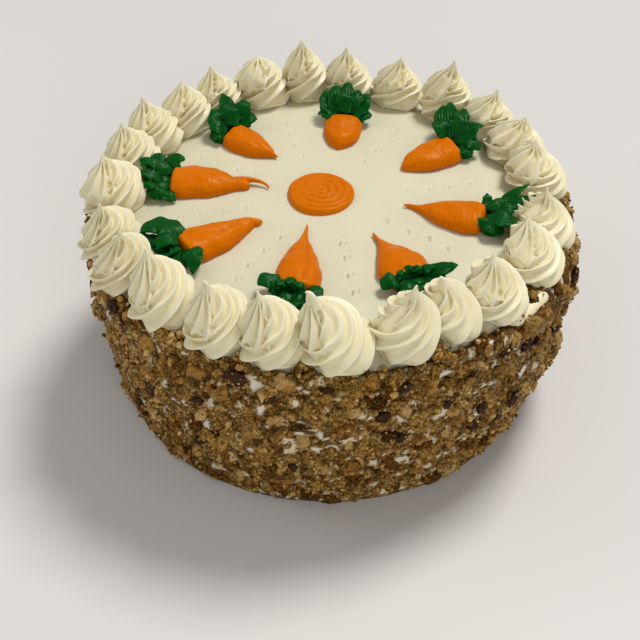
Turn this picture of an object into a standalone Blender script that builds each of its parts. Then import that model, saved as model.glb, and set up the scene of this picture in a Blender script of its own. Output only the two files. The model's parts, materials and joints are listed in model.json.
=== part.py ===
"""Carrot cake: a round layer cake iced in cream cheese frosting.

The side is pressed with chopped walnuts and cake crumbs, the top carries a
ring of piped star-tip rosettes, eight piped carrots with leaf tops, and a
flat coil of orange icing in the middle.

Frame: metres, +Z up, origin at the centre of the underside, which is the one
flat face that the cake stands on.  -Y is the front.
"""
import math

import bmesh
import bpy
from mathutils import Vector, noise

MM = 0.001
NAME = "carrot_cake"

# ---- the iced cake -------------------------------------------------------
CAKE_HEIGHT = 98.5 * MM          # underside to the flat top
CAKE_RADIUS_FOOT = 104.5 * MM    # iced side at the foot
CAKE_RADIUS_TOP = 109.6 * MM     # iced side at the shoulder
SHOULDER_RADIUS = 84.0 * MM      # the flat top ends here
SHOULDER_SLOPE = 17.0            # degrees the rim droops outwards
ROUND_SEGMENTS = 72
GAP = 0.3 * MM                   # clearance between separate pieces

# ---- the nut and crumb coating -------------------------------------------
COAT_FOOT_RADIUS = 108.2 * MM
COAT_BELLY_RADIUS = 116.4 * MM   # outer face from mid-height upwards
COAT_BELLY_HEIGHT = 62.0 * MM
COAT_LUMP = 1.9 * MM             # size of the lumps of nut
COAT_LUMP_PITCH = 13.0 * MM
COAT_THICK_SIDE = 345.0          # degrees: the side with the thickest coat
COAT_THICK_EXTRA = 4.8 * MM
COAT_ROUND = 2.2 * MM            # the top edge turns in by this much
COAT_ROWS = 9

# ---- the ring of rosettes ------------------------------------------------
ROSETTE_COUNT = 24
ROSETTE_FIRST = 197.0            # degrees, counter-clockwise from +X
ROSETTE_STEP = 360.0 / ROSETTE_COUNT
ROSETTE_RIDGES = 8               # ridges left by the star tip
ROSETTE_RIDGE_DEPTH = 0.085      # part of the radius
ROSETTE_TWIST = 62.0             # degrees the ridges turn up to the peak
ROSETTE_RAMP = 2.6 * MM          # climb of the piped ring in one turn
# share of the height, share of the body radius
ROSETTE_PROFILE = ((0.0, 0.88), (0.13, 1.0), (0.29, 0.96), (0.40, 0.72),
                   (0.54, 0.58), (0.71, 0.34), (0.88, 0.13))
# Hand piping is uneven: for each rosette the shift along the ring (degrees),
# ring radius, body radius, peak height over the flat top, and how far the
# peak leans outwards and counter-clockwise (all mm).
ROSETTE_HAND = (
    (0.0, 103, 14.6, 21.0, 4.0, 3.0), (-3.0, 104, 14.8, 21.0, 1.0, 3.5),
    (-1.0, 102, 14.6, 26.0, 3.0, -6.0), (0.5, 101, 14.4, 23.0, 1.5, -2.5),
    (0.0, 101, 14.2, 24.0, 0.3, -6.0), (1.0, 101, 15.4, 27.0, -1.0, -9.0),
    (2.0, 101, 14.2, 24.0, -0.5, 4.0), (0.5, 99, 13.6, 20.5, -2.0, -4.5),
    (0.0, 101, 14.4, 21.0, -2.5, -2.5), (2.0, 103, 14.8, 20.0, -6.0, 3.0),
    (1.0, 102, 14.8, 20.0, 0.0, 1.0), (8.0, 103, 15.2, 21.0, -2.0, 0.0),
    (7.0, 101, 14.6, 20.5, 4.0, -4.0), (6.0, 102, 14.0, 22.0, 4.0, -4.5),
    (4.5, 99, 13.4, 30.0, 1.0, -3.5), (6.0, 98, 13.6, 24.0, 0.4, -2.2),
    (6.0, 97, 12.8, 27.0, -1.0, 1.3), (4.0, 97, 12.2, 31.0, 0.0, 2.8),
    (3.0, 96, 13.2, 24.5, 1.5, 2.5), (2.5, 97, 12.6, 25.0, 2.5, 4.0),
    (0.5, 97, 13.2, 24.5, 1.5, 1.0), (-1.5, 98, 13.4, 26.0, 5.0, 3.0),
    (-3.5, 99, 14.0, 24.0, 4.0, 1.0), (-2.0, 100, 15.4, 23.0, 5.0, -3.0),
)

# ---- carrots and their tops ----------------------------------------------
# For each carrot: the blunt end (radius mm, degrees), the point (radius mm,
# degrees), the width, the height, the height of its leaves and how far they
# sit to the counter-clockwise side (mm).
CARROT_HAND = (
    (76.0, 172.7, 29.3, 166.6, 22.5, 7.5, 11.0, 1.0),
    (78.9, 213.2, 38.5, 213.0, 22.0, 8.0, 9.5, 1.0),
    (74.8, 259.7, 26.8, 248.6, 20.5, 8.0, 9.0, -2.0),
    (74.8, 299.6, 37.9, 301.4, 23.8, 8.0, 9.0, 0.0),
    (76.1, 344.4, 39.0, 346.0, 22.5, 7.5, 10.0, 0.0),
    (74.3, 31.5, 43.2, 33.0, 21.0, 7.5, 14.0, 3.0),
    (64.8, 81.8, 40.8, 82.0, 19.5, 7.0, 13.0, -2.0),
    (70.1, 132.9, 41.1, 128.9, 18.5, 7.0, 14.0, -3.0),
)
CARROT_STATIONS = 8
CARROT_WIDEST = 0.17             # share of the length from the blunt end
LEAF_COUNT = 6                   # piped leaves in one carrot top
LEAF_HALF_WIDTH = 12.5 * MM
LEAF_FLARE = 1.12                # leaf tips spread past the root outline
LEAF_OVERHANG = 3.0 * MM         # the tips lean over the rosettes' feet

# ---- the coil in the middle ----------------------------------------------
DISC_CENTRE = (-3.0 * MM, 1.5 * MM)
DISC_RADIUS = 16.4 * MM
DISC_HEIGHT = 4.2 * MM
DISC_TURNS = 3
DISC_GROOVE = 0.5 * MM
DISC_SEGMENTS = 24


def clear_scene():
    for ob in list(bpy.data.objects):
        bpy.data.objects.remove(ob, do_unlink=True)


def principled(name, colour, roughness):
    mat = bpy.data.materials.new(name)
    mat.use_nodes = True
    shader = mat.node_tree.nodes["Principled BSDF"]
    shader.inputs["Base Color"].default_value = (*colour, 1.0)
    shader.inputs["Roughness"].default_value = roughness
    shader.inputs["Metallic"].default_value = 0.0
    mat.diffuse_color = (*colour, 1.0)
    return mat


def add_object(name, mesh, material, collection):
    ob = bpy.data.objects.new(name, mesh)
    mesh.materials.append(material)
    collection.objects.link(ob)
    mesh.shade_smooth()
    mesh.set_sharp_from_angle(angle=math.radians(50))
    return ob


def polar(radius, degrees, z=0.0):
    a = math.radians(degrees)
    return Vector((radius * math.cos(a), radius * math.sin(a), z))


def smooth_step(t):
    t = min(1.0, max(0.0, t))
    return t * t * (3.0 - 2.0 * t)


def loft(name, rings, tip=None):
    """Close a stack of rings, bottom first and each counter-clockwise from
    above, with a flat bottom and either a point or a flat top."""
    bm = bmesh.new()
    rows = [[bm.verts.new(p) for p in ring] for ring in rings]
    count = len(rows[0])
    for low, high in zip(rows, rows[1:]):
        for i in range(count):
            j = (i + 1) % count
            bm.faces.new((low[i], low[j], high[j], high[i]))
    bm.faces.new(list(reversed(rows[0])))
    if tip is None:
        bm.faces.new(rows[-1])
    else:
        point = bm.verts.new(tip)
        top = rows[-1]
        for i in range(count):
            bm.faces.new((top[i], top[(i + 1) % count], point))
    bmesh.ops.triangulate(bm, faces=bm.faces)
    mesh = bpy.data.meshes.new(name)
    bm.to_mesh(mesh)
    bm.free()
    return mesh


def shoulder_height(radius):
    """Height of the icing at a radius: flat, then drooping to the rim."""
    drop = max(0.0, radius - SHOULDER_RADIUS)
    return CAKE_HEIGHT - drop * math.tan(math.radians(SHOULDER_SLOPE))


def iced_side(z):
    rim = shoulder_height(CAKE_RADIUS_TOP)
    return CAKE_RADIUS_FOOT + (CAKE_RADIUS_TOP - CAKE_RADIUS_FOOT) * z / rim


def make_cake(material, collection):
    """A turned body: the profile runs down its outer side from the top."""
    profile = [(0.0, CAKE_HEIGHT), (SHOULDER_RADIUS, CAKE_HEIGHT),
               (CAKE_RADIUS_TOP, shoulder_height(CAKE_RADIUS_TOP)),
               (CAKE_RADIUS_FOOT, 0.0), (0.0, 0.0)]
    mesh = bpy.data.meshes.new("iced_cake")
    mesh.from_pydata([(r, 0.0, z) for r, z in profile],
                     [(i, i + 1) for i in range(len(profile) - 1)], [])
    ob = add_object("iced_cake", mesh, material, collection)
    screw = ob.modifiers.new("turn", "SCREW")
    screw.axis = "Z"
    screw.steps = screw.render_steps = ROUND_SEGMENTS
    screw.use_merge_vertices = True
    screw.merge_threshold = 0.0001
    screw.use_smooth_shade = True
    return ob


def coat_radius(degrees, z):
    """Outer face of the coating, with its lumps and its thicker side."""
    belly = smooth_step(z / COAT_BELLY_HEIGHT)
    radius = COAT_FOOT_RADIUS + (COAT_BELLY_RADIUS - COAT_FOOT_RADIUS) * belly
    side = max(0.0, math.cos(math.radians(degrees - COAT_THICK_SIDE))) ** 2
    radius += COAT_THICK_EXTRA * side * smooth_step(z / (40.0 * MM))
    p = polar(radius, degrees, z) / COAT_LUMP_PITCH
    return radius + COAT_LUMP * noise.noise(p) * 1.6


def make_coating(material, collection):
    bm = bmesh.new()
    rim = shoulder_height(CAKE_RADIUS_TOP)
    columns = []
    for i in range(ROUND_SEGMENTS):
        degrees = 360.0 * i / ROUND_SEGMENTS
        outer_top = coat_radius(degrees, rim - 3.0 * MM) - COAT_ROUND
        lump = noise.noise(polar(1.0, degrees) * 9.0)
        top = shoulder_height(outer_top) - 0.6 * MM - 0.8 * MM * abs(lump)
        column = []
        for row in range(COAT_ROWS + 1):
            z = top * row / COAT_ROWS
            radius = outer_top if row == COAT_ROWS else coat_radius(degrees, z)
            column.append(bm.verts.new(polar(radius, degrees, z)))
        column.append(bm.verts.new(
            polar(CAKE_RADIUS_TOP + GAP, degrees, rim - 0.4 * MM)))
        column.append(bm.verts.new(
            polar(CAKE_RADIUS_FOOT + GAP, degrees, 0.0)))
        columns.append(column)
    for i in range(ROUND_SEGMENTS):
        here, there = columns[i], columns[(i + 1) % ROUND_SEGMENTS]
        for k in range(len(here)):
            n = (k + 1) % len(here)
            bm.faces.new((here[k], there[k], there[n], here[n]))
    bmesh.ops.triangulate(bm, faces=bm.faces)
    mesh = bpy.data.meshes.new("nut_crumb_coating")
    bm.to_mesh(mesh)
    bm.free()
    return add_object("nut_crumb_coating", mesh, material, collection)


def rosette_degrees(k):
    k %= ROSETTE_COUNT
    return ROSETTE_FIRST + ROSETTE_STEP * k + ROSETTE_HAND[k][0]


def between(point, low_degrees, high_degrees):
    """Keep a point inside the wedge between two neighbours' mid planes."""
    low = polar(1.0, low_degrees + 90.0)
    high = polar(1.0, high_degrees + 90.0)
    short = point.dot(low) - 0.5 * GAP
    if short < 0.0:
        point = point - low * short
    over = point.dot(high) + 0.5 * GAP
    if over > 0.0:
        point = point - high * over
    return point


def half_way(first, second):
    """Mid angle going counter-clockwise from first to second."""
    return first + ((second - first) % 360.0) / 2.0


def make_rosette(k, material, collection):
    degrees = rosette_degrees(k)
    _, ring, body, peak, lean_out, lean_turn = ROSETTE_HAND[k]
    ring, body = ring * MM, body * MM
    outward, across = polar(1.0, degrees), polar(1.0, degrees + 90.0)
    slope = math.radians(SHOULDER_SLOPE)
    down = (outward * math.cos(slope) - Vector((0, 0, 1)) * math.sin(slope))
    normal = (outward * math.sin(slope) + Vector((0, 0, 1)) * math.cos(slope))
    foot = outward * ring
    foot.z = shoulder_height(ring) + GAP
    tip = outward * (ring + lean_out * MM) + across * (lean_turn * MM)
    tip.z = CAKE_HEIGHT + peak * MM
    height = (tip - foot).length
    knee = foot + normal * (0.62 * height)
    low_side = half_way(rosette_degrees(k - 1), degrees)
    high_side = half_way(degrees, rosette_degrees(k + 1))
    segments = 2 * ROSETTE_RIDGES
    rings = []
    for share, width in ROSETTE_PROFILE:
        axis = (foot * (1 - share) ** 2 + knee * (2 * share * (1 - share))
                + tip * share ** 2)
        level = down.lerp(outward, share)
        row = []
        for i in range(segments):
            turn = i / segments
            ridge = 1.0 + ROSETTE_RIDGE_DEPTH * (1 if i % 2 else -1)
            radius = body * width * ridge
            a = (2 * math.pi * turn + math.radians(215.0 - degrees)
                 + math.radians(ROSETTE_TWIST) * share)
            p = axis + level * (radius * math.cos(a))
            p = p + across * (radius * math.sin(a))
            if 0.1 < share < 0.6:
                p = p + normal * (ROSETTE_RAMP * (turn - 0.5))
            row.append(between(p, low_side, high_side))
        rings.append(row)
    name = "rosette_%02d" % (k + 1)
    mesh = loft(name, rings, tip=between(tip, low_side, high_side))
    return add_object(name, mesh, material, collection)


def carrot_width(t):
    """Share of the full width from the blunt end (0) to the point (1)."""
    if t < CARROT_WIDEST:
        return 0.55 + 0.45 * math.sqrt(t / CARROT_WIDEST)
    past = (t - CARROT_WIDEST) / (1.0 - CARROT_WIDEST)
    return max(0.03, 1.0 - past ** 1.7)


def carrot_ends(k):
    r0, a0, r1, a1 = CARROT_HAND[k][:4]
    return polar(r0 * MM, a0), polar(r1 * MM, a1)


def make_carrot(k, material, collection):
    blunt, point = carrot_ends(k)
    width, height = CARROT_HAND[k][4] * MM, CARROT_HAND[k][5] * MM
    along = (point - blunt).normalized()
    side = Vector((0, 0, 1)).cross(along)
    length = (point - blunt).length
    floor = CAKE_HEIGHT + GAP
    arch = 6                      # steps over the domed back of the carrot
    rings = []
    for s in range(CARROT_STATIONS):
        t = 0.02 + 0.98 * (s / (CARROT_STATIONS - 1)) ** 1.15
        w = 0.5 * width * carrot_width(t)
        h = height * carrot_width(t) ** 0.8
        ring = []
        for i in range(arch + 1):
            a = math.pi * i / arch
            p = blunt + along * (length * t) + side * (w * math.cos(a))
            p.z = floor + max(0.15 * MM, h * math.sin(a) ** 0.8)
            ring.append(p)
        for share in (-0.9, 0.9):
            p = blunt + along * (length * t) + side * (w * share)
            p.z = floor
            ring.append(p)
        rings.append(ring)
    name = "carrot_%02d" % (k + 1)
    mesh = loft(name, rings)
    return add_object(name, mesh, material, collection)


def rosette_inner_limit(degrees):
    """How far out a carrot top may reach before it meets the rosettes."""
    near = []
    for k in range(ROSETTE_COUNT):
        away = abs((rosette_degrees(k) - degrees + 180.0) % 360.0 - 180.0)
        if away < 22.0:
            _, ring, body = ROSETTE_HAND[k][:3]
            near.append((ring - body * (1.0 + ROSETTE_RIDGE_DEPTH)) * MM)
    return min(near) - 2 * GAP


def make_carrot_top(k, material, collection):
    """A tuft of leaves: a notched outline that rises to leaf tips."""
    blunt, point = carrot_ends(k)
    tall = CARROT_HAND[k][6] * MM
    out = (blunt - point).normalized()
    side = Vector((0, 0, 1)).cross(out)
    limit = rosette_inner_limit(CARROT_HAND[k][1])
    inner = GAP
    outer = limit - blunt.length
    root = blunt + out * (inner + 0.3 * (outer - inner))
    root = root + side * (CARROT_HAND[k][7] * MM)
    floor = CAKE_HEIGHT + GAP
    points = 2 * LEAF_COUNT
    outlines = []
    for level, (grow, rise) in enumerate(((0.86, 0.0), (1.0, 0.42),
                                          (0.78, 1.0))):
        ring = []
        for i in range(points):
            a = 2 * math.pi * i / points
            leaf = i % 2 == 0
            reach = (LEAF_FLARE if leaf else 0.84) * grow
            if level == 2:
                reach *= 1.0 + LEAF_OVERHANG / (outer - inner)
            x = math.cos(a) * (outer - inner) * 0.62 * reach
            y = math.sin(a) * LEAF_HALF_WIDTH * reach
            p = root + out * x + side * y
            past = (p - blunt).dot(out)
            if past < inner:
                p = p + out * (inner - past)
            reach_limit = limit + (LEAF_OVERHANG if level == 2 else 0.0)
            if p.length > reach_limit:
                p = p * (reach_limit / p.length)
            back = 0.62 + 0.38 * max(0.0, math.cos(a))
            h = tall * back * rise * (1.0 if leaf or level < 2 else 0.55)
            p.z = floor + h
            ring.append(p)
        outlines.append(ring)
    top = root.copy()
    top.z = floor + 0.5 * tall
    name = "carrot_top_%02d" % (k + 1)
    mesh = loft(name, outlines, tip=top)
    return add_object(name, mesh, material, collection)


def make_disc(material, collection):
    """The flat coil: a turned disc with a groove between its turns."""
    profile = [(0.0, DISC_HEIGHT - 2 * DISC_GROOVE)]
    for turn in range(1, DISC_TURNS + 1):
        crest = (turn - 0.45) / DISC_TURNS * DISC_RADIUS * 0.93
        valley = turn / DISC_TURNS * DISC_RADIUS * 0.93
        profile.append((crest, DISC_HEIGHT))
        if turn < DISC_TURNS:
            profile.append((valley, DISC_HEIGHT - DISC_GROOVE))
    profile += [(DISC_RADIUS, DISC_HEIGHT * 0.62),
                (DISC_RADIUS * 0.985, 0.0), (0.0, 0.0)]
    mesh = bpy.data.meshes.new("centre_disc")
    mesh.from_pydata([(r, 0.0, z) for r, z in profile],
                     [(i, i + 1) for i in range(len(profile) - 1)], [])
    ob = add_object("centre_disc", mesh, material, collection)
    ob.location = (DISC_CENTRE[0], DISC_CENTRE[1], CAKE_HEIGHT + GAP)
    screw = ob.modifiers.new("turn", "SCREW")
    screw.axis = "Z"
    screw.steps = screw.render_steps = DISC_SEGMENTS
    screw.use_merge_vertices = True
    screw.merge_threshold = 0.0001
    screw.use_smooth_shade = True
    return ob


def main():
    clear_scene()
    cake = bpy.data.collections.new(NAME)
    bpy.context.scene.collection.children.link(cake)
    frosting = principled("cream_cheese_frosting", (0.83, 0.76, 0.58), 0.45)
    coating = principled("nut_and_crumb", (0.28, 0.16, 0.06), 0.85)
    orange = principled("orange_icing", (0.75, 0.18, 0.005), 0.4)
    green = principled("green_icing", (0.0, 0.11, 0.03), 0.4)
    make_cake(frosting, cake)
    make_coating(coating, cake)
    for k in range(ROSETTE_COUNT):
        make_rosette(k, frosting, cake)
    for k in range(len(CARROT_HAND)):
        make_carrot(k, orange, cake)
        make_carrot_top(k, green, cake)
    make_disc(orange, cake)


main()
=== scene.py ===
"""Looks of the carrot cake: icing, rosettes, carrots, leaves and coating.

Everything rides on the one body, "root". Sizes are in millimetres in the
tables and helpers, and turned into metres where a mesh is made.
"""
import json
import math

import bmesh
import bpy
import numpy as np
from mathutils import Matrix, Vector

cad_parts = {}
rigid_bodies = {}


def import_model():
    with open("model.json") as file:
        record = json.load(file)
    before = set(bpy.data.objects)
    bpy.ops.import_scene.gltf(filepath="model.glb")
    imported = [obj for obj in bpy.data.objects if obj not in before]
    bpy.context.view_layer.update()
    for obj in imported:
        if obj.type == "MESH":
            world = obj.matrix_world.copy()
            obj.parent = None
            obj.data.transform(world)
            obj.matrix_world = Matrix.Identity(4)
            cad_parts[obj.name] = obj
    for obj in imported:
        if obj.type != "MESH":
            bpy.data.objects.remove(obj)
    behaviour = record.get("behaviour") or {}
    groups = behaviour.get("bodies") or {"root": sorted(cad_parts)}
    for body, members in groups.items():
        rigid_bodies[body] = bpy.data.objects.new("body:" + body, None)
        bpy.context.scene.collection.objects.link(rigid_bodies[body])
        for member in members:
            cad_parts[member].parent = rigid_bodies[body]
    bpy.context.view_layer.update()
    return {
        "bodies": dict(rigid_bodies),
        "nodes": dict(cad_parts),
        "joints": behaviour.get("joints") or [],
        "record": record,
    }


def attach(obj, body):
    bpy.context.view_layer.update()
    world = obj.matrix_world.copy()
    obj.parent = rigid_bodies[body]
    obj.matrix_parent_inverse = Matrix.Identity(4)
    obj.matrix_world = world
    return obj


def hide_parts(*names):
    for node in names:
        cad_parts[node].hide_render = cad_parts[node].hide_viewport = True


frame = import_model()

MM = 0.001
TAU = 2 * math.pi

# ---- the same driving sizes as the solids ---------------------------------
CAKE_HEIGHT = 98.5
CAKE_RADIUS_FOOT = 104.5
CAKE_RADIUS_TOP = 109.6
SHOULDER_RADIUS = 84.0
SHOULDER_SLOPE = math.radians(17.0)
COAT_FOOT_RADIUS = 108.2
COAT_BELLY_RADIUS = 116.4
COAT_BELLY_HEIGHT = 62.0
COAT_THICK_SIDE = 345.0
COAT_THICK_EXTRA = 4.8
ROSETTE_FIRST = 197.0
ROSETTE_STEP = 15.0

# shift along the ring, ring radius, body radius, peak over the flat top,
# how far the peak leans outwards and counter-clockwise
ROSETTE_HAND = (
    (0.0, 103, 14.6, 21.0, 4.0, 3.0), (-3.0, 104, 14.8, 21.0, 1.0, 3.5),
    (-1.0, 102, 14.6, 26.0, 3.0, -6.0), (0.5, 101, 14.4, 23.0, 1.5, -2.5),
    (0.0, 101, 14.2, 24.0, 0.3, -6.0), (1.0, 101, 15.4, 27.0, -1.0, -9.0),
    (2.0, 101, 14.2, 24.0, -0.5, 4.0), (0.5, 99, 13.6, 20.5, -2.0, -4.5),
    (0.0, 101, 14.4, 21.0, -2.5, -2.5), (2.0, 103, 14.8, 20.0, -6.0, 3.0),
    (1.0, 102, 14.8, 20.0, 0.0, 1.0), (8.0, 103, 15.2, 21.0, -2.0, 0.0),
    (7.0, 101, 14.6, 20.5, 4.0, -4.0), (6.0, 102, 14.0, 22.0, 4.0, -4.5),
    (4.5, 99, 13.4, 30.0, 1.0, -3.5), (6.0, 98, 13.6, 24.0, 0.4, -2.2),
    (6.0, 97, 12.8, 27.0, -1.0, 1.3), (4.0, 97, 12.2, 31.0, 0.0, 2.8),
    (3.0, 96, 13.2, 24.5, 1.5, 2.5), (2.5, 97, 12.6, 25.0, 2.5, 4.0),
    (0.5, 97, 13.2, 24.5, 1.5, 1.0), (-1.5, 98, 13.4, 26.0, 5.0, 3.0),
    (-3.5, 99, 14.0, 24.0, 4.0, 1.0), (-2.0, 100, 15.4, 23.0, 5.0, -3.0),
)
# blunt end (radius, degrees), point (radius, degrees), width, height, height
# of the leaves and their shift to the counter-clockwise side
CARROT_HAND = (
    (76.0, 172.7, 29.3, 166.6, 22.5, 7.5, 11.0, 1.0),
    (78.9, 213.2, 38.5, 213.0, 22.0, 8.0, 9.5, 1.0),
    (74.8, 259.7, 26.8, 248.6, 20.5, 8.0, 9.0, -2.0),
    (74.8, 299.6, 37.9, 301.4, 23.8, 8.0, 9.0, 0.0),
    (76.1, 344.4, 39.0, 346.0, 22.5, 7.5, 10.0, 0.0),
    (74.3, 31.5, 43.2, 33.0, 21.0, 7.5, 14.0, 3.0),
    (64.8, 81.8, 40.8, 82.0, 19.5, 7.0, 13.0, -2.0),
    (70.1, 132.9, 41.1, 128.9, 18.5, 7.0, 14.0, -3.0),
)
DISC_CENTRE = (-3.0, 1.5)
DISC_RADIUS = 16.4
DISC_HEIGHT = 4.2


# ---- small helpers -----------------------------------------------------------
def smooth(a, b, x):
    t = np.clip((np.asarray(x, float) - a) / (b - a), 0.0, 1.0)
    return t * t * (3 - 2 * t)


def polar(radius, degrees, z=0.0):
    a = math.radians(degrees)
    return np.array([radius * math.cos(a), radius * math.sin(a), z])


def unit(v):
    v = np.asarray(v, float)
    return v / np.linalg.norm(v)


def shoulder_height(radius):
    return CAKE_HEIGHT - np.maximum(
        0.0, np.asarray(radius, float) - SHOULDER_RADIUS) * math.tan(
            SHOULDER_SLOPE)


def hermite(p0, m0, p1, m1, n):
    t = np.linspace(0, 1, n)[:, None]
    return ((2 * t**3 - 3 * t**2 + 1) * p0 + (t**3 - 2 * t**2 + t) * m0
            + (-2 * t**3 + 3 * t**2) * p1 + (t**3 - t**2) * m1)


def through(keys, ts):
    """Smooth curves through rows of (t, a, b, ...): one column each."""
    k = np.array(keys, float)
    t = k[:, 0]
    i = np.clip(np.searchsorted(t, ts, side="right") - 1, 0, len(t) - 2)
    h = t[i + 1] - t[i]
    x = (ts - t[i]) / h
    out = []
    for c in range(1, k.shape[1]):
        y = k[:, c]
        m = np.gradient(y, t)
        out.append((2 * x**3 - 3 * x**2 + 1) * y[i]
                   + (x**3 - 2 * x**2 + x) * h * m[i]
                   + (-2 * x**3 + 3 * x**2) * y[i + 1]
                   + (x**3 - x**2) * h * m[i + 1])
    return np.stack(out, -1)


# ---- noise ---------------------------------------------------------------------
GRADIENTS = np.random.default_rng(5).normal(size=(256, 3))
GRADIENTS /= np.linalg.norm(GRADIENTS, axis=1)[:, None]


def mix_hash(ix, iy, iz, seed=0):
    h = (ix * 374761393 + iy * 668265263 + iz * 1440670441
         + seed * 97471) & 0xFFFFFFFF
    h = ((h ^ (h >> 13)) * 1274126177) & 0xFFFFFFFF
    return h ^ (h >> 16)


def perlin(p, seed=0):
    p = np.asarray(p, float)
    c = np.floor(p).astype(np.int64)
    f = p - c
    w = f * f * f * (f * (f * 6 - 15) + 10)
    total = np.zeros(len(p))
    for dx in (0, 1):
        for dy in (0, 1):
            for dz in (0, 1):
                h = mix_hash(c[:, 0] + dx, c[:, 1] + dy, c[:, 2] + dz, seed)
                g = GRADIENTS[h & 255]
                d = f - (dx, dy, dz)
                wx = w[:, 0] if dx else 1 - w[:, 0]
                wy = w[:, 1] if dy else 1 - w[:, 1]
                wz = w[:, 2] if dz else 1 - w[:, 2]
                total += wx * wy * wz * np.einsum("ij,ij->i", g, d)
    return total * 1.5


def fbm(p, octaves=3, seed=0):
    p = np.asarray(p, float)
    total, amp = np.zeros(len(p)), 1.0
    for k in range(octaves):
        total += amp * perlin(p * 2**k, seed + 31 * k)
        amp *= 0.5
    return total


def cells(p, seed=0):
    """Distance to the nearest and second nearest seed, and the nearest's hash."""
    p = np.asarray(p, float)
    c = np.floor(p).astype(np.int64)
    first = np.full(len(p), 9.0)
    second = np.full(len(p), 9.0)
    who = np.zeros(len(p), np.int64)
    for dx in (-1, 0, 1):
        for dy in (-1, 0, 1):
            for dz in (-1, 0, 1):
                q = c + (dx, dy, dz)
                h = mix_hash(q[:, 0], q[:, 1], q[:, 2], seed)
                o = np.stack([(h & 1023) / 1023.0, ((h >> 10) & 1023) / 1023.0,
                              ((h >> 20) & 1023) / 1023.0], 1)
                d = np.linalg.norm(q + o - p, axis=1)
                near = d < first
                second = np.where(near, first, np.minimum(second, d))
                first = np.where(near, d, first)
                who = np.where(near, h, who)
    return first, second, who


# ---- meshes ----------------------------------------------------------------------
def new_object(name, verts, faces, material=None, tint=None):
    """A mesh piece from points in mm; faces are an array or a list."""
    me = bpy.data.meshes.new(name)
    verts = np.asarray(verts, np.float64) * MM
    if isinstance(faces, np.ndarray):
        count, corners = faces.shape
        me.vertices.add(len(verts))
        me.vertices.foreach_set("co", verts.astype(np.float32).ravel())
        me.loops.add(count * corners)
        me.loops.foreach_set("vertex_index", faces.astype(np.int32).ravel())
        me.polygons.add(count)
        me.polygons.foreach_set(
            "loop_start", np.arange(0, count * corners, corners, dtype=np.int32))
        me.update(calc_edges=True)
    else:
        me.from_pydata([tuple(v) for v in verts], [], faces)
        me.update()
    me.polygons.foreach_set("use_smooth", np.ones(len(me.polygons), bool))
    if tint is not None:
        paint(me, "tint", tint)
    ob = bpy.data.objects.new(name, me)
    bpy.context.scene.collection.objects.link(ob)
    if material:
        me.materials.append(material)
    return ob


def paint(me, name, colours):
    """Store a colour for each point."""
    colours = np.asarray(colours, np.float32)
    if colours.ndim == 1:
        colours = np.repeat(colours[:, None], 3, 1)
    rgba = np.ones((len(colours), 4), np.float32)
    rgba[:, :3] = colours
    layer = me.color_attributes.new(name, "FLOAT_COLOR", "POINT")
    layer.data.foreach_set("color", rgba.ravel())


def points_of(me):
    co = np.empty(len(me.vertices) * 3, np.float32)
    me.vertices.foreach_get("co", co)
    return co.reshape(-1, 3).astype(float) / MM


def normals_of(me):
    no = np.empty(len(me.vertices) * 3, np.float32)
    me.vertices.foreach_get("normal", no)
    return no.reshape(-1, 3).astype(float)


def edges_of(me):
    ed = np.empty(len(me.edges) * 2, np.int32)
    me.edges.foreach_get("vertices", ed)
    return ed.reshape(-1, 2)


def hollows(me, rounds=2):
    """For each point, how far it lies in a groove (+) or on a ridge (-)."""
    co, no, ed = points_of(me), normals_of(me), edges_of(me)
    n = len(co)
    deg = np.bincount(ed.ravel(), minlength=n).astype(float)
    mean = np.zeros_like(co)
    for c in range(3):
        mean[:, c] = (np.bincount(ed[:, 0], co[ed[:, 1], c], n)
                      + np.bincount(ed[:, 1], co[ed[:, 0], c], n))
    mean /= deg[:, None]
    length = np.linalg.norm(co[ed[:, 0]] - co[ed[:, 1]], axis=1)
    size = (np.bincount(ed[:, 0], length, n)
            + np.bincount(ed[:, 1], length, n)) / deg
    h = np.einsum("ij,ij->i", mean - co, no) / np.maximum(size, 1e-6) ** 1.0
    for _ in range(rounds):
        h = 0.5 * h + 0.5 * (np.bincount(ed[:, 0], h[ed[:, 1]], n)
                             + np.bincount(ed[:, 1], h[ed[:, 0]], n)) / deg
    return h


def evaluated(ob):
    deps = bpy.context.evaluated_depsgraph_get()
    me = bpy.data.meshes.new_from_object(ob.evaluated_get(deps),
                                         depsgraph=deps)
    ob.modifiers.clear()
    old = ob.data
    ob.data = me
    bpy.data.meshes.remove(old)


def fuse(ob, voxel, rounds, triangles, factor=0.5):
    """One skin over all the overlapping lumps in a piece."""
    m = ob.modifiers.new("skin", "REMESH")
    m.mode = "VOXEL"
    m.voxel_size = voxel * MM
    m.use_smooth_shade = True
    if rounds:
        s = ob.modifiers.new("soften", "SMOOTH")
        s.factor = factor
        s.iterations = rounds
    evaluated(ob)
    keep_largest(ob)
    count = sum(len(p.vertices) - 2 for p in ob.data.polygons)
    if count > triangles:
        d = ob.modifiers.new("thin", "DECIMATE")
        d.ratio = triangles / count
        evaluated(ob)
    ob.data.polygons.foreach_set(
        "use_smooth", np.ones(len(ob.data.polygons), bool))


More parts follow.
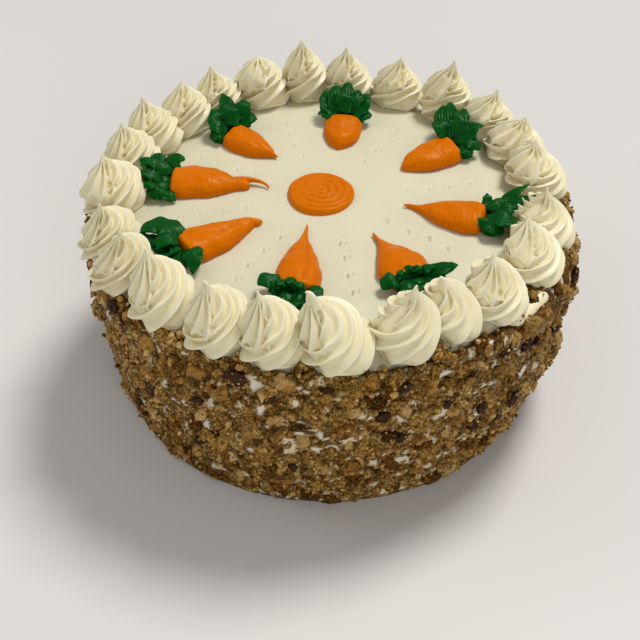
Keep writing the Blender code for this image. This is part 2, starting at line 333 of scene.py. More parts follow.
def keep_largest(ob):
    """Drop crumbs that the skin left loose inside or beside the piece."""
    me = ob.data
    n = len(me.vertices)
    ed = edges_of(me)
    label = np.arange(n)
    for _ in range(400):
        low = np.minimum(label[ed[:, 0]], label[ed[:, 1]])
        new = label.copy()
        np.minimum.at(new, ed[:, 0], low)
        np.minimum.at(new, ed[:, 1], low)
        new = new[new]
        if (new == label).all():
            break
        label = new
    names, counts = np.unique(label, return_counts=True)
    if len(names) == 1:
        return
    best = names[counts.argmax()]
    bm = bmesh.new()
    bm.from_mesh(me)
    bm.verts.ensure_lookup_table()
    drop = [bm.verts[int(i)] for i in np.nonzero(label != best)[0]]
    bmesh.ops.delete(bm, geom=drop, context="VERTS")
    bm.to_mesh(me)
    bm.free()


def rope(centre, radius, ridges=0, depth=None, twist=None, sections=48,
         squash=1.0):
    """A ridged rope along a line of centres, closed at both ends."""
    n = len(centre)
    tan = np.gradient(centre, axis=0)
    tan /= np.linalg.norm(tan, axis=1)[:, None]
    side = np.cross(tan[0], (0.03, 0.02, 1.0))
    side /= np.linalg.norm(side)
    nor = np.cross(side, tan[0])
    ang = np.linspace(0, TAU, sections, endpoint=False)
    rows = []
    for i in range(n):
        nor = nor - tan[i] * nor.dot(tan[i])
        nor /= np.linalg.norm(nor)
        r = radius[i] * np.ones(sections)
        if ridges:
            r = r * (1 - depth[i] * np.abs(
                np.sin((ang + twist[i]) * ridges / 2)) ** 1.2)
        rows.append(centre[i] + (np.cos(ang) * r * squash)[:, None] * nor
                    + (np.sin(ang) * r)[:, None] * np.cross(tan[i], nor))
    return np.concatenate(rows), grid_faces(n, sections, True)


def grid_faces(rows, columns, round_trip, caps=True):
    """Quads over rows of points; a list, with end caps if asked."""
    out = []
    last = columns if round_trip else columns - 1
    for i in range(rows - 1):
        for j in range(last):
            k = (j + 1) % columns
            out.append((i * columns + j, i * columns + k,
                        (i + 1) * columns + k, (i + 1) * columns + j))
    if caps:
        out.append(tuple(range(columns))[::-1])
        out.append(tuple((rows - 1) * columns + j for j in range(columns)))
    return out


def join(parts):
    """Several (verts, faces) lists as one."""
    verts, faces, off = [], [], 0
    for v, f in parts:
        verts.append(np.asarray(v, float))
        faces += [tuple(a + off for a in q) for q in f]
        off += len(v)
    return np.concatenate(verts), faces


def ball(radius, height, centre, across=28, up=12):
    """A closed round lump."""
    v = [(centre[0], centre[1], centre[2] + height)]
    for i in range(1, up):
        a = math.pi * i / up
        for j in range(across):
            b = TAU * j / across
            v.append((centre[0] + radius * math.sin(a) * math.cos(b),
                      centre[1] + radius * math.sin(a) * math.sin(b),
                      centre[2] + height * math.cos(a)))
    v.append((centre[0], centre[1], centre[2] - height))
    f = []
    for j in range(across):
        k = (j + 1) % across
        f.append((0, 1 + j, 1 + k))
        for i in range(up - 2):
            f.append((1 + i * across + j, 1 + (i + 1) * across + j,
                      1 + (i + 1) * across + k, 1 + i * across + k))
        f.append((len(v) - 1, 1 + (up - 2) * across + k,
                  1 + (up - 2) * across + j))
    return np.array(v), f


# ---- materials -------------------------------------------------------------------
def node(mat, kind, **settings):
    n = mat.node_tree.nodes.new(kind)
    for key, value in settings.items():
        setattr(n, key, value)
    return n


def base_material(name, rough, spec=0.5):
    mat = bpy.data.materials.new(name)
    mat.use_nodes = True
    shader = mat.node_tree.nodes["Principled BSDF"]
    shader.inputs["Roughness"].default_value = rough
    shader.inputs["Specular IOR Level"].default_value = spec
    return mat, shader, mat.node_tree.links


def object_noise(mat, scale, detail=3.0, rough=0.5):
    tex = node(mat, "ShaderNodeTexNoise")
    tex.inputs["Scale"].default_value = scale
    tex.inputs["Detail"].default_value = detail
    tex.inputs["Roughness"].default_value = rough
    where = node(mat, "ShaderNodeTexCoord")
    mat.node_tree.links.new(where.outputs["Object"], tex.inputs["Vector"])
    return tex


def ramp(mat, stops):
    r = node(mat, "ShaderNodeValToRGB")
    els = r.color_ramp.elements
    els[0].position, els[0].color = stops[0][0], (*stops[0][1], 1)
    els[1].position, els[1].color = stops[-1][0], (*stops[-1][1], 1)
    for pos, col in stops[1:-1]:
        e = els.new(pos)
        e.color = (*col, 1)
    return r


def bumps(mat, shader, layers):
    """Fine relief from one or more noises: (scale, detail, strength, mm)."""
    last = None
    for scale, detail, strength, depth in layers:
        tex = object_noise(mat, scale, detail)
        b = node(mat, "ShaderNodeBump")
        b.inputs["Strength"].default_value = strength
        b.inputs["Distance"].default_value = depth * MM
        mat.node_tree.links.new(tex.outputs["Fac"], b.inputs["Height"])
        if last is not None:
            mat.node_tree.links.new(last.outputs["Normal"],
                                    b.inputs["Normal"])
        last = b
    mat.node_tree.links.new(last.outputs["Normal"], shader.inputs["Normal"])


def icing_material(name, light, mid, deep, rough, sss, radius, spec=0.45,
                   grain=((900.0, 4.0, 0.25, 0.12), (230.0, 2.0, 0.2, 0.3)),
                   sheen=(1.0, 1.0, 1.0)):
    """Whipped icing: painted highlight on the ridges and painted shade in the grooves, from
    the tint.
    """
    mat, shader, links = base_material(name, rough, spec)
    shader.inputs["Specular Tint"].default_value = tuple(sheen) + (1.0,)
    attr = node(mat, "ShaderNodeAttribute", attribute_name="tint")
    # painted light: the light colour on the ridges, the deep colour in the grooves
    shades = ramp(mat, ((0.0, light), (0.5, mid), (1.0, deep)))
    links.new(attr.outputs["Fac"], shades.inputs["Fac"])
    drift = object_noise(mat, 55.0, 3.0)
    mix = node(mat, "ShaderNodeMix", data_type="RGBA", blend_type="MULTIPLY")
    mix.inputs["Factor"].default_value = 1.0
    tone = ramp(mat, ((0.3, (0.955, 0.95, 0.93)), (0.7, (1.0, 1.0, 1.0))))
    links.new(drift.outputs["Fac"], tone.inputs["Fac"])
    links.new(shades.outputs["Color"], mix.inputs["A"])
    links.new(tone.outputs["Color"], mix.inputs["B"])
    links.new(mix.outputs["Result"], shader.inputs["Base Color"])
    gloss = object_noise(mat, 320.0, 2.0)
    wet = node(mat, "ShaderNodeMapRange")
    wet.inputs["To Min"].default_value = rough - 0.07
    wet.inputs["To Max"].default_value = rough + 0.08
    links.new(gloss.outputs["Fac"], wet.inputs["Value"])
    links.new(wet.outputs["Result"], shader.inputs["Roughness"])
    shader.inputs["Subsurface Weight"].default_value = sss
    shader.inputs["Subsurface Radius"].default_value = radius
    shader.inputs["Subsurface Scale"].default_value = 0.0014
    bumps(mat, shader, grain)
    return mat


def tinted_material(name, rough, spec, grain, sss=0.0, speck=0.35,
                    speck_scale=700.0, coat=0.0):
    """Colour from the mesh, broken up by a fine speckle."""
    mat, shader, links = base_material(name, rough, spec)
    shader.inputs["Specular Tint"].default_value = (1.0, 0.75, 0.50, 1.0)
    attr = node(mat, "ShaderNodeAttribute", attribute_name="tint")
    fine = object_noise(mat, speck_scale, 4.0, 0.65)
    tone = ramp(mat, ((0.30, (1 - speck,) * 3), (0.5, (1.0, 1.0, 1.0)),
                      (0.72, (1 + speck * 0.8,) * 3)))
    links.new(fine.outputs["Fac"], tone.inputs["Fac"])
    mix = node(mat, "ShaderNodeMix", data_type="RGBA", blend_type="MULTIPLY")
    mix.inputs["Factor"].default_value = 1.0
    links.new(attr.outputs["Color"], mix.inputs["A"])
    links.new(tone.outputs["Color"], mix.inputs["B"])
    links.new(mix.outputs["Result"], shader.inputs["Base Color"])
    if sss:
        shader.inputs["Subsurface Weight"].default_value = sss
        shader.inputs["Subsurface Radius"].default_value = (1.0, 0.6, 0.3)
        shader.inputs["Subsurface Scale"].default_value = 0.0012
    if coat:
        shader.inputs["Coat Weight"].default_value = coat
        shader.inputs["Coat Roughness"].default_value = 0.25
    bumps(mat, shader, grain)
    return mat


def crumb_material(name, rough, spec, grain, scale, dark, light, gap_shade_tone,
                   patch=0.35):
    """Colour from the mesh, in grains about a millimetre across, with painted shade between
    the grains.

    Pale icing keeps its own colour; the grains show on the crumb only.
    """
    mat, shader, links = base_material(name, rough, spec)
    shader.inputs["Specular Tint"].default_value = (1.0, 0.80, 0.55, 1.0)
    attr = node(mat, "ShaderNodeAttribute", attribute_name="tint")
    place = node(mat, "ShaderNodeTexCoord")
    warp = object_noise(mat, scale * 0.55, 3.0, 0.6)
    bend = node(mat, "ShaderNodeVectorMath", operation="SCALE")
    bend.inputs["Scale"].default_value = 1.3 / scale
    links.new(warp.outputs["Color"], bend.inputs[0])
    moved = node(mat, "ShaderNodeVectorMath", operation="ADD")
    links.new(place.outputs["Object"], moved.inputs[0])
    links.new(bend.outputs["Vector"], moved.inputs[1])
    cell = node(mat, "ShaderNodeTexVoronoi")
    cell.inputs["Scale"].default_value = scale
    links.new(moved.outputs["Vector"], cell.inputs["Vector"])
    own = ramp(mat, ((0.0, (dark, dark * 0.93, dark * 0.85)),
                     (0.5, (1.0, 1.0, 1.0)),
                     (1.0, (light, light * 1.02, light * 1.1))))
    split = node(mat, "ShaderNodeSeparateColor")
    links.new(cell.outputs["Color"], split.inputs["Color"])
    links.new(split.outputs["Red"], own.inputs["Fac"])
    # painted shade: darker towards the edges between the grains
    gap_shade = ramp(mat, ((0.35, (1.0, 1.0, 1.0)),
                     (0.70, (gap_shade_tone, gap_shade_tone * 0.85, gap_shade_tone * 0.7))))
    links.new(cell.outputs["Distance"], gap_shade.inputs["Fac"])
    wide = object_noise(mat, 210.0, 4.0, 0.6)
    tone = ramp(mat, ((0.33, (1 - patch,) * 3), (0.5, (1.0, 1.0, 1.0)),
                      (0.68, (1 + patch, 1 + patch, 1 + patch * 0.8))))
    links.new(wide.outputs["Fac"], tone.inputs["Fac"])
    # no grains on the icing
    parts = node(mat, "ShaderNodeSeparateColor")
    links.new(attr.outputs["Color"], parts.inputs["Color"])
    fade = node(mat, "ShaderNodeMapRange")
    for key, value in (("From Min", 0.20), ("From Max", 0.42),
                       ("To Min", 1.0), ("To Max", 0.10)):
        fade.inputs[key].default_value = value
    links.new(parts.outputs["Blue"], fade.inputs["Value"])
    last = attr.outputs["Color"]
    for layer in (own, gap_shade, tone):
        mix = node(mat, "ShaderNodeMix", data_type="RGBA",
                   blend_type="MULTIPLY")
        links.new(fade.outputs["Result"], mix.inputs["Factor"])
        links.new(last, mix.inputs["A"])
        links.new(layer.outputs["Color"], mix.inputs["B"])
        last = mix.outputs["Result"]
    links.new(last, shader.inputs["Base Color"])
    bumps(mat, shader, grain)
    # the grains stand up
    under = shader.inputs["Normal"].links[0].from_socket
    bump = node(mat, "ShaderNodeBump", invert=True)
    bump.inputs["Distance"].default_value = 0.0006
    links.new(fade.outputs["Result"], bump.inputs["Strength"])
    links.new(cell.outputs["Distance"], bump.inputs["Height"])
    links.new(under, bump.inputs["Normal"])
    links.new(bump.outputs["Normal"], shader.inputs["Normal"])
    return mat


# light, mid and deep: painted highlight on the ridges down to painted shade in the grooves
FROSTING = icing_material(
    "frosting", (0.800, 0.757, 0.565), (0.770, 0.697, 0.440),
    (0.53, 0.415, 0.155), 0.42, 0.12, (1.0, 0.75, 0.4))
# painted shade: the same icing as frosting, made darker and less yellow for the flat top
FROSTING_TOP_SHADED = icing_material(
    "frosting_top_shaded", (0.650, 0.615, 0.455), (0.625, 0.587, 0.428),
    (0.54, 0.490, 0.325), 0.46, 0.20, (1.0, 0.75, 0.4),
    grain=((700.0, 4.0, 0.18, 0.10), (120.0, 3.0, 0.25, 0.35)))
ORANGE = icing_material(
    "orange_icing", (0.67, 0.178, 0.0006), (0.575, 0.130, 0.0003),
    (0.44, 0.076, 0.0001), 0.32, 0.05, (1.0, 0.4, 0.1), 0.08,
    grain=((500.0, 3.0, 0.20, 0.12), (150.0, 3.0, 0.35, 0.4)),
    sheen=(1.0, 0.72, 0.30))
GREEN = icing_material(
    "green_icing", (0.004, 0.105, 0.012), (0.0008, 0.056, 0.005),
    (0.0001, 0.010, 0.0005), 0.30, 0.0, (0.4, 1.0, 0.3), 0.09,
    grain=((600.0, 3.0, 0.2, 0.12),), sheen=(0.62, 1.0, 0.72))
CRUMB = crumb_material(
    "crumb_coat", 0.60, 0.10,
    ((1500.0, 4.0, 0.5, 0.3), (520.0, 3.0, 0.6, 0.6)),
    820.0, 0.45, 1.35, 0.45)
NUT = crumb_material(
    "chopped_nut", 0.38, 0.26,
    ((900.0, 4.0, 0.35, 0.2), (320.0, 3.0, 0.5, 0.5)),
    600.0, 0.86, 1.08, 0.88, 0.22)
SKIN = tinted_material(
    "dark_skin", 0.42, 0.22,
    ((800.0, 4.0, 0.8, 0.6), (300.0, 3.0, 0.8, 0.9)), 0.0, 0.75, 520.0)


def paint_groove_shade(ob, node_name=None, gain=3.2, lift=0.42):
    """Painted shade in the grooves and painted highlight on the ridges, from the form, then
    ride and replace.
    """
    me = ob.data
    h = hollows(me)
    # painted shade: the tint runs from pale on the ridges to deep in the grooves
    paint(me, "tint", np.clip(lift + gain * h, 0, 1))
    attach(ob, "root")
    if node_name:
        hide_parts(node_name)


# ---- the iced body ----------------------------------------------------------------
def mark_places():
    """Four small stamps in a row midway between neighbouring carrots."""
    rng = np.random.default_rng(41)
    rows = ((280.0, (36.0, 47.0, 59.0, 71.0)), (324.0, (33.5, 45.0, 56.0, 67.0)),
            (9.0, (39.0, 50.0, 61.0, 71.0)), (57.0, (37.0, 48.0, 58.0, 68.0)),
            (108.0, (37.0, 48.0, 58.5, 69.0)), (152.0, (38.0, 49.0, 60.0, 70.0)),
            (193.0, (38.0, 49.0, 60.0, 71.0)), (236.0, (37.5, 49.5, 61.0, 73.0)))
    out = []
    for degrees, radii in rows:
        for r in radii:
            d = degrees + rng.uniform(-1.0, 1.0)
            out.append((polar(r + rng.uniform(-0.8, 0.8), d)[:2],
                        math.radians(rng.uniform(-14, 14) + 84),
                        rng.uniform(0.80, 1.15) * (
                            0.7 if degrees < 200 else 1.2 if degrees == 280
                            else 1.05),
                        1 if degrees == 324.0 else -1))
    return out


def stamp_depth(xy, marks):
    """Two short grooves with a bar across, and a slight rim; painted shade in the cuts and
    a painted highlight on the rim.
    """
    dz = np.zeros(len(xy))
    shade = np.zeros(len(xy))
    for centre, turn, size, side in marks:
        d = xy - centre
        near = (np.abs(d) < 5.4).all(1)
        if not near.any():
            continue
        d = d[near]
        u = d[:, 0] * math.cos(turn) + d[:, 1] * math.sin(turn)
        v = side * (-d[:, 0] * math.sin(turn) + d[:, 1] * math.cos(turn))
        cut = np.zeros(len(d))
        second = (1.30, 0.85, 0.46, 0.95) if side < 0 else (
            1.35, 0.95, 0.30, 0.50)
        for off, along, deep, half in ((-1.05, -0.30, 0.74, 1.60), second):
            cut = np.maximum(cut, deep * np.exp(-((v - off) / 0.42) ** 2)
                             * (1 - smooth(half - 0.40, half + 0.40,
                                           np.abs(u - along))))
        bar = (0.28 if side < 0 else 0.42) * np.exp(
            -((u - 1.0) / 0.38) ** 2) * (
            1 - smooth(1.5, 2.2, np.abs(v + 0.5)))
        cut = np.maximum(cut, bar)
        rim = 0.13 * np.exp(-((np.hypot(u * 0.80, v) - 2.7) / 0.75) ** 2) * (
            smooth(-1.5, 2.0, u - v))
        dz[near] += (rim - cut) * size
        # painted shade in the grooves and bar, painted highlight on the rim
        shade[near] += 0.70 * cut * size - 0.25 * rim
    return dz, shade


def build_body():
    marks = mark_places()
    radii = [0.0] + list(np.linspace(2.6, 109.4, 38))
    around = 160
    bm = bmesh.new()
    centre = bm.verts.new((0, 0, CAKE_HEIGHT))
    rings = []
    for r in radii[1:]:
        rings.append([bm.verts.new(polar(r, 360.0 * j / around, 0.0))
                      for j in range(around)])
    # the rim turns over into the side
    side = [(CAKE_RADIUS_TOP, -0.9)]
    rim_z = float(shoulder_height(CAKE_RADIUS_TOP))
    for t in np.linspace(0.04, 1.0, 9):
        side.append((CAKE_RADIUS_TOP + (CAKE_RADIUS_FOOT - CAKE_RADIUS_TOP) * t,
                     -rim_z * t))
    for r, dz in side:
        rings.append([bm.verts.new(polar(r, 360.0 * j / around, 1000.0 + dz))
                      for j in range(around)])
    for j in range(around):
        k = (j + 1) % around
        bm.faces.new((centre, rings[0][j], rings[0][k]))
        for a, b in zip(rings, rings[1:]):
            bm.faces.new((a[j], b[j], b[k], a[k]))
    bm.faces.new(rings[-1][::-1])
    # finer faces where the stamps are
    spots = np.array([m[0] for m in marks])
    for reach in (5.4, 4.2, 3.3):
        edges = set()
        for f in bm.faces:
            c = f.calc_center_median()
            if c.z > 900 or len(f.verts) > 40:
                continue
            d = np.hypot(spots[:, 0] - c.x, spots[:, 1] - c.y)
            if d.min() < reach:
                edges.update(f.edges)
        bmesh.ops.subdivide_edges(bm, edges=list(edges), cuts=1,
                                  use_grid_fill=True)
    bmesh.ops.triangulate(bm, faces=[f for f in bm.faces if len(f.verts) > 4
                                     and len(f.verts) < 60])
    co = np.array([v.co[:] for v in bm.verts])
    is_side = co[:, 2] > 900
    r = np.hypot(co[:, 0], co[:, 1])
    z = np.where(is_side, rim_z + (co[:, 2] - 1000.0), 0.0)
    top = shoulder_height(r)
    # the flat rolls over softly into the shoulder
    top = top - 0.75 * np.exp(-((r - SHOULDER_RADIUS) / 4.0) ** 2)
    flat = np.stack([co[:, 0] / 42.0, co[:, 1] / 42.0, np.zeros(len(co))], 1)
    turn = np.arctan2(co[:, 1], co[:, 0])
    wave = 0.30 * fbm(flat, 2, 3)
    strokes = np.stack([r / 7.0, turn * 2.2, np.full(len(co), 3.3)], 1)
    wave += 0.07 * fbm(strokes, 2, 8)
    dz, shade = stamp_depth(co[:, :2], marks)
    z = np.where(is_side, z, top + (wave + dz) * (1 - smooth(98, 108, r)))
    z = np.clip(z, 0.0, None)
    for v, x in zip(bm.verts, z):
        v.co.z = x
    bmesh.ops.recalc_face_normals(bm, faces=bm.faces)
    me = bpy.data.meshes.new("frosting_body")
    for v in bm.verts:
        v.co *= MM
    bm.to_mesh(me)
    bm.free()
    me.polygons.foreach_set("use_smooth", np.ones(len(me.polygons), bool))
    me.set_sharp_from_angle(angle=math.radians(60))
    me.materials.append(FROSTING_TOP_SHADED)
    ob = bpy.data.objects.new("frosting_body", me)
    bpy.context.scene.collection.objects.link(ob)
    # painted light: the top's tint moves towards its paler end towards the back right
    far = smooth(-20, 90, 0.6 * co[:, 0] + 0.8 * co[:, 1])
    paint(me, "tint", np.clip(0.47 + 0.5 * wave + shade - 0.14 * far, 0, 1))
    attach(ob, "root")
    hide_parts("iced_cake")
    return ob


# ---- rosettes ------------------------------------------------------------------------
def rosette_form(body, peak, lean, start, seed, flutes=10.0, lines=6.0,
                 depth=2.7, cone=0.74, fold=88.0, swirl=20.0, skirt=0.41,
                 curl=(0, 0, 1), thin=1.5, shift=0.19, dome=1.0, lobes=2.0,
                 bell=0.25, rounded=0.0, plain=False):
    """One piped rosette about its own upright axis, its base at z = 0.

    A fan of profiles goes round more than once: it starts low at the fold,
    runs round as the outer ring, climbs, and ends as the ridged cone that
    lies over its own beginning. lean is where the tip stands, lines are the
    ridges along the ring and flutes those of the cone.
    """
    rng = np.random.default_rng(seed)
    R, P = body, peak
    cr = R * cone
    full = [(0.00, 0.0, P * 0.985), (0.10, 1.5 + 0.8 * bell, P * 0.85),
            (0.25, 4.4 + R * 0.10 * bell, P * (0.60 + 0.10 * dome)),
            (0.42, R * (0.60 + 0.08 * bell), P * (0.46 + 0.13 * dome)),
            (0.58, R * 0.85, P * (0.37 + 0.11 * dome)),
            (0.72, R * 0.985, P * 0.335), (0.82, R * 1.01, P * 0.17),
            (0.90, R * 0.91, P * 0.03), (0.95, R * 0.76, -1.0),
            (1.00, 0.0, -1.2)]
    low = [(0.00, 0.0, P * 0.30), (0.10, 1.6, P * 0.30),
           (0.25, 4.4, P * 0.30), (0.42, R * 0.54, P * 0.315),
           (0.58, R * 0.80, P * 0.335), (0.72, R * 0.985, P * 0.25),
           (0.82, R * 1.01, P * 0.14), (0.90, R * 0.91, P * 0.03),
           (0.95, R * 0.76, -1.0), (1.00, 0.0, -1.2)]
    zs = P * skirt
    upper = [(0.00, 0.0, P * 0.985), (0.10, 1.5 + 1.0 * bell, P * 0.855),
             (0.25, cr * (0.37 + 0.16 * bell), P * (0.72 + 0.02 * bell)),
             (0.42, cr * (0.62 + 0.16 * bell), P * 0.60),
             (0.58, cr * (0.85 + 0.09 * bell), zs + P * 0.11),
             (0.72, cr, zs + P * 0.03),
             (0.82, cr * 1.0, zs - P * 0.03), (0.90, cr * 0.90, zs - P * 0.07),
             (0.95, cr * 0.70, zs - P * 0.07), (1.00, 0.0, zs - P * 0.06)]
    dome_full = [(0.00, 0.0, 0.985), (0.10, 0.22, 0.955), (0.25, 0.50, 0.86),
                 (0.42, 0.74, 0.70), (0.58, 0.90, 0.52)]
    dome_upper = [(0.00, 0.0, 0.985), (0.10, 0.26, 0.955), (0.25, 0.57, 0.87),
                  (0.42, 0.82, 0.75), (0.58, 0.98, skirt + 0.18)]
    for keys, dome_keys, reach in ((full, dome_full, R),
                                   (upper, dome_upper, cr)):
        for k, (t, rho, z) in enumerate(dome_keys):
            keys[k] = (t, keys[k][1] + rounded * (rho * reach - keys[k][1]),
                       keys[k][2] + rounded * (z * P - keys[k][2]))
    nt = 72
    ts = np.linspace(0, 1, nt)
    full, low, upper = through(full, ts), through(low, ts), through(upper, ts)
    if plain:
        fold = 12.0
    turn = np.linspace(-150.0, 360.0 + fold, 290)
    al = math.radians(start)
    swing = smooth(0.05, 0.95, ts) * 0.55 + 0.45 * np.clip(ts, 0, 1)
    wob = rng.uniform(0, TAU, 4)
    # how many grooves the fan meets as it goes round
    rate = lines / 2 + (flutes - lines) / 2 * smooth(170.0, 300.0, turn)
    phase = np.concatenate([[0], np.cumsum(
        0.5 * (rate[1:] + rate[:-1]) * np.radians(np.diff(turn)))]) + wob[3]
    rows = []
    for T, ph0 in zip(turn, phase):
        wf = smooth(0.0, 75.0, T)
        wc = 0.0 if plain else smooth(215.0, 335.0, T)
        prof = (low * (1 - wf) + full * wf) * (1 - wc) + upper * wc
        rho, z = prof[:, 0].copy(), prof[:, 1].copy()
        rho = rho * (1 + 0.022 * math.sin(math.radians(T) * 2 + wob[0])
                     + 0.012 * math.sin(math.radians(T) * 5 + wob[1]))
        first = smooth(-150.0, -60.0, T)
        early = 1 - smooth(-60.0, 0.0, T)
        rho = rho * (0.72 + 0.28 * first - 0.05 * early)
        z = z * (0.80 + 0.20 * first)
        last = smooth(360.0 + fold * 0.60, 360.0 + fold, T)
        hook = math.exp(-((T - 360.0 - fold * 0.80) / 11.0) ** 2)
        hem = smooth(0.50, 0.72, ts)
        rho = rho * (1 - 0.24 * last) + 1.3 * hook * hem
        z = z + (last * P * 0.05 + 1.6 * hook) * hem
        ring = 1.0 if plain else 1 - smooth(120.0, 335.0, T)
        ph = ph0 + swing * (2.6 + (swirl - 2.6) * ring)
        ph = ph + 0.22 * np.sin(ph * 0.61 + wob[2])
        cut = np.abs(np.sin(ph)) ** 1.05
        amp = (depth * np.clip(prof[:, 0] / 5.0, 0, 1) ** 0.75
               * (1 - smooth(0.91, 0.97, ts)))
        edge = lobes * np.exp(-((T - 8.0) / 28.0) ** 2) * smooth(
            0.45, 0.62, ts) * (1 - smooth(0.80, 0.92, ts))
        move = edge * (1 - cut) - amp * cut
        dr, dz = np.gradient(rho), np.gradient(z)
        ln = np.hypot(dr, dz) + 1e-9
        rho = np.clip(rho - dz / ln * move, 0, None)
        z = z + dr / ln * move
        w = np.clip(z / P, 0, 1) ** 1.4
        sh = wc * R * shift * (1 - w)
        ax = lean[0] * w + sh * math.cos(al)
        ay = lean[1] * w + sh * math.sin(al)
        d = al + math.radians(T)
        rows.append(np.stack([ax + rho * math.cos(d), ay + rho * math.sin(d),
                              z], 1))
    parts = [(np.concatenate(rows), [tuple(reversed(q)) for q in
                                     grid_faces(len(turn), nt, True)])]
    # solid icing inside, well under the ridges
    inner = [(P * 0.74, 0.6), (P * 0.64, cr * 0.34), (P * 0.52, cr * 0.58),
             (P * (skirt - 0.02), cr * 0.84), (P * 0.30, R * 0.76),
             (P * 0.15, R * 0.82), (0.3, R * 0.76), (-0.9, R * 0.6)]
    around = np.linspace(0, TAU, 40, endpoint=False)
    rows = []
    for z, rho in inner:
        w = np.clip(z / P, 0, 1) ** 1.4
        sh = R * shift * (1 - w) * float(smooth(P * 0.2, P * skirt, z))
        rows.append(np.stack([
            lean[0] * w + sh * math.cos(al) + rho * np.cos(around),
            lean[1] * w + sh * math.sin(al) + rho * np.sin(around),
            np.full(40, z)], 1))
    parts.append((np.concatenate(rows), grid_faces(len(inner), 40, True)))
    # the icing drawn out to a tip
    w = 0.76 ** 1.4
    foot = np.array([lean[0] * w, lean[1] * w, P * 0.76])
    tip = np.array([lean[0], lean[1], P], float)
    d0 = unit((lean[0] * 0.6, lean[1] * 0.6, P * 0.5))
    d1 = unit((lean[0] * 0.6 + curl[0], lean[1] * 0.6 + curl[1],
               P * 0.5 * curl[2]))
    far = np.linalg.norm(tip - foot)
    line = hermite(foot, d0 * far, tip, d1 * far * 1.2, 26)
    v = np.linspace(0, 1, 26)
    parts.append(rope(line, thin * (1 - v) ** 1.1 + 0.5, 5, 0.10 * (1 - v),
                      np.zeros(26), 20))
    return join(parts)


# world direction of the fold, and what else is particular to a rosette:
# curl bends the drawn-out tip (x, y, rise), nudge moves it (mm, world)
ROSETTE_LOOK = {
    1: dict(start=196), 2: dict(start=200, swirl=15.5),
    3: dict(start=205, fold=82, curl=(-5, 0, 1), slide=1.2),
    4: dict(start=208, curl=(-10, 0, 0.4), nudge=(-1.8, 0.0, 0.0), thin=1.8,
            slide=2.4),
    5: dict(start=205, cone=0.78, slide=0.9), 6: dict(
        start=204, curl=(-20, -2, -1.2), nudge=(-5.5, 0, -1.2), thin=2.4),
    7: dict(start=172, plain=True, lines=7.0, swirl=13.0, curl=(6, 0, 0.5),
            slide=-1.2),
    8: dict(start=180, plain=True, lines=7.0, swirl=12.0, thin=1.8,
            curl=(-16, -2, 0.0), nudge=(-2.0, 0, 0)),
    9: dict(start=225, slide=-2.0), 10: dict(start=215, cone=0.78),
    11: dict(plain=True, start=175, lines=7.0, swirl=13.0),
    19: dict(thin=3.6, dome=1.3, bell=1.0, cone=0.92, rounded=0.9),
    15: dict(thin=2.2, bell=1.3), 17: dict(thin=2.0), 18: dict(thin=2.2),
    24: dict(cone=0.86, bell=0.9, full=0.994),
    23: dict(cone=0.82, bell=0.8),
}
ROSETTE_FULLER = 1.07            # icing spreads past the nozzle's ring


def build_rosettes():
    for i, (shift, ring, body, peak, out, along) in enumerate(ROSETTE_HAND):
        degrees = ROSETTE_FIRST + ROSETTE_STEP * i + shift
        outward, across = polar(1, degrees), polar(1, degrees + 90)
        up = np.array([0, 0, 1.0])
        ey = -(outward * math.cos(SHOULDER_SLOPE)
               - up * math.sin(SHOULDER_SLOPE))
        ez = (outward * math.sin(SHOULDER_SLOPE)
              + up * math.cos(SHOULDER_SLOPE))
        ex = np.cross(ey, ez)
        look = dict(ROSETTE_LOOK.get(i + 1, {}))
        foot = polar(ring, degrees, float(shoulder_height(ring)) + 0.3)
        foot = foot + across * look.pop("slide", 0.0)
        tip = (outward * (ring + out) + across * along
               + up * (CAKE_HEIGHT + peak)) - foot + np.array(
                   look.pop("nudge", (0, 0, 0)), float)
        rng = np.random.default_rng(200 + i)
        world = look.pop("start", 212 + rng.uniform(-14, 14))
        curl = look.pop("curl", (rng.uniform(-4, 4), rng.uniform(-3, 3), 1))
        cw = np.array([curl[0], curl[1], 0.0])
        sw = polar(1, world)
        start = math.degrees(math.atan2(sw.dot(ey), sw.dot(ex)))
        look.setdefault("flutes", rng.uniform(9.2, 10.8))
        look.setdefault("lines", rng.uniform(5.2, 6.4))
        look.setdefault("swirl", rng.uniform(15.5, 18.5))
        back = 11 <= i <= 21
        look.setdefault("cone", rng.uniform(0.71, 0.77) + 0.08 * back)
        look.setdefault("bell", 1.0 if back else 0.25)
        look.setdefault("rounded", rng.uniform(0.10, 0.40) if back else 0.28)
        look.setdefault("skirt", rng.uniform(0.38, 0.43))
        look.setdefault("fold", rng.uniform(74, 94))
        body = body * (ROSETTE_FULLER + 0.05 * back) * look.pop("full", 1.0)
        verts, faces = rosette_form(
            body, tip.dot(ez), (tip.dot(ex), tip.dot(ey)), start, 300 + i, curl=(cw.dot(ex), cw.dot(ey), curl[2]), **look)
        verts = (verts[:, :1] * ex + verts[:, 1:2] * ey + verts[:, 2:] * ez
                 + foot)
        name = "rosette_%02d" % (i + 1)
        ob = new_object("piped_" + name, verts, faces, FROSTING)
        fuse(ob, 0.34 if i < 11 else 0.38, 1, 11500 if i < 11 else 7000, 0.5)
        paint_groove_shade(ob, name, 3.3, 0.40)


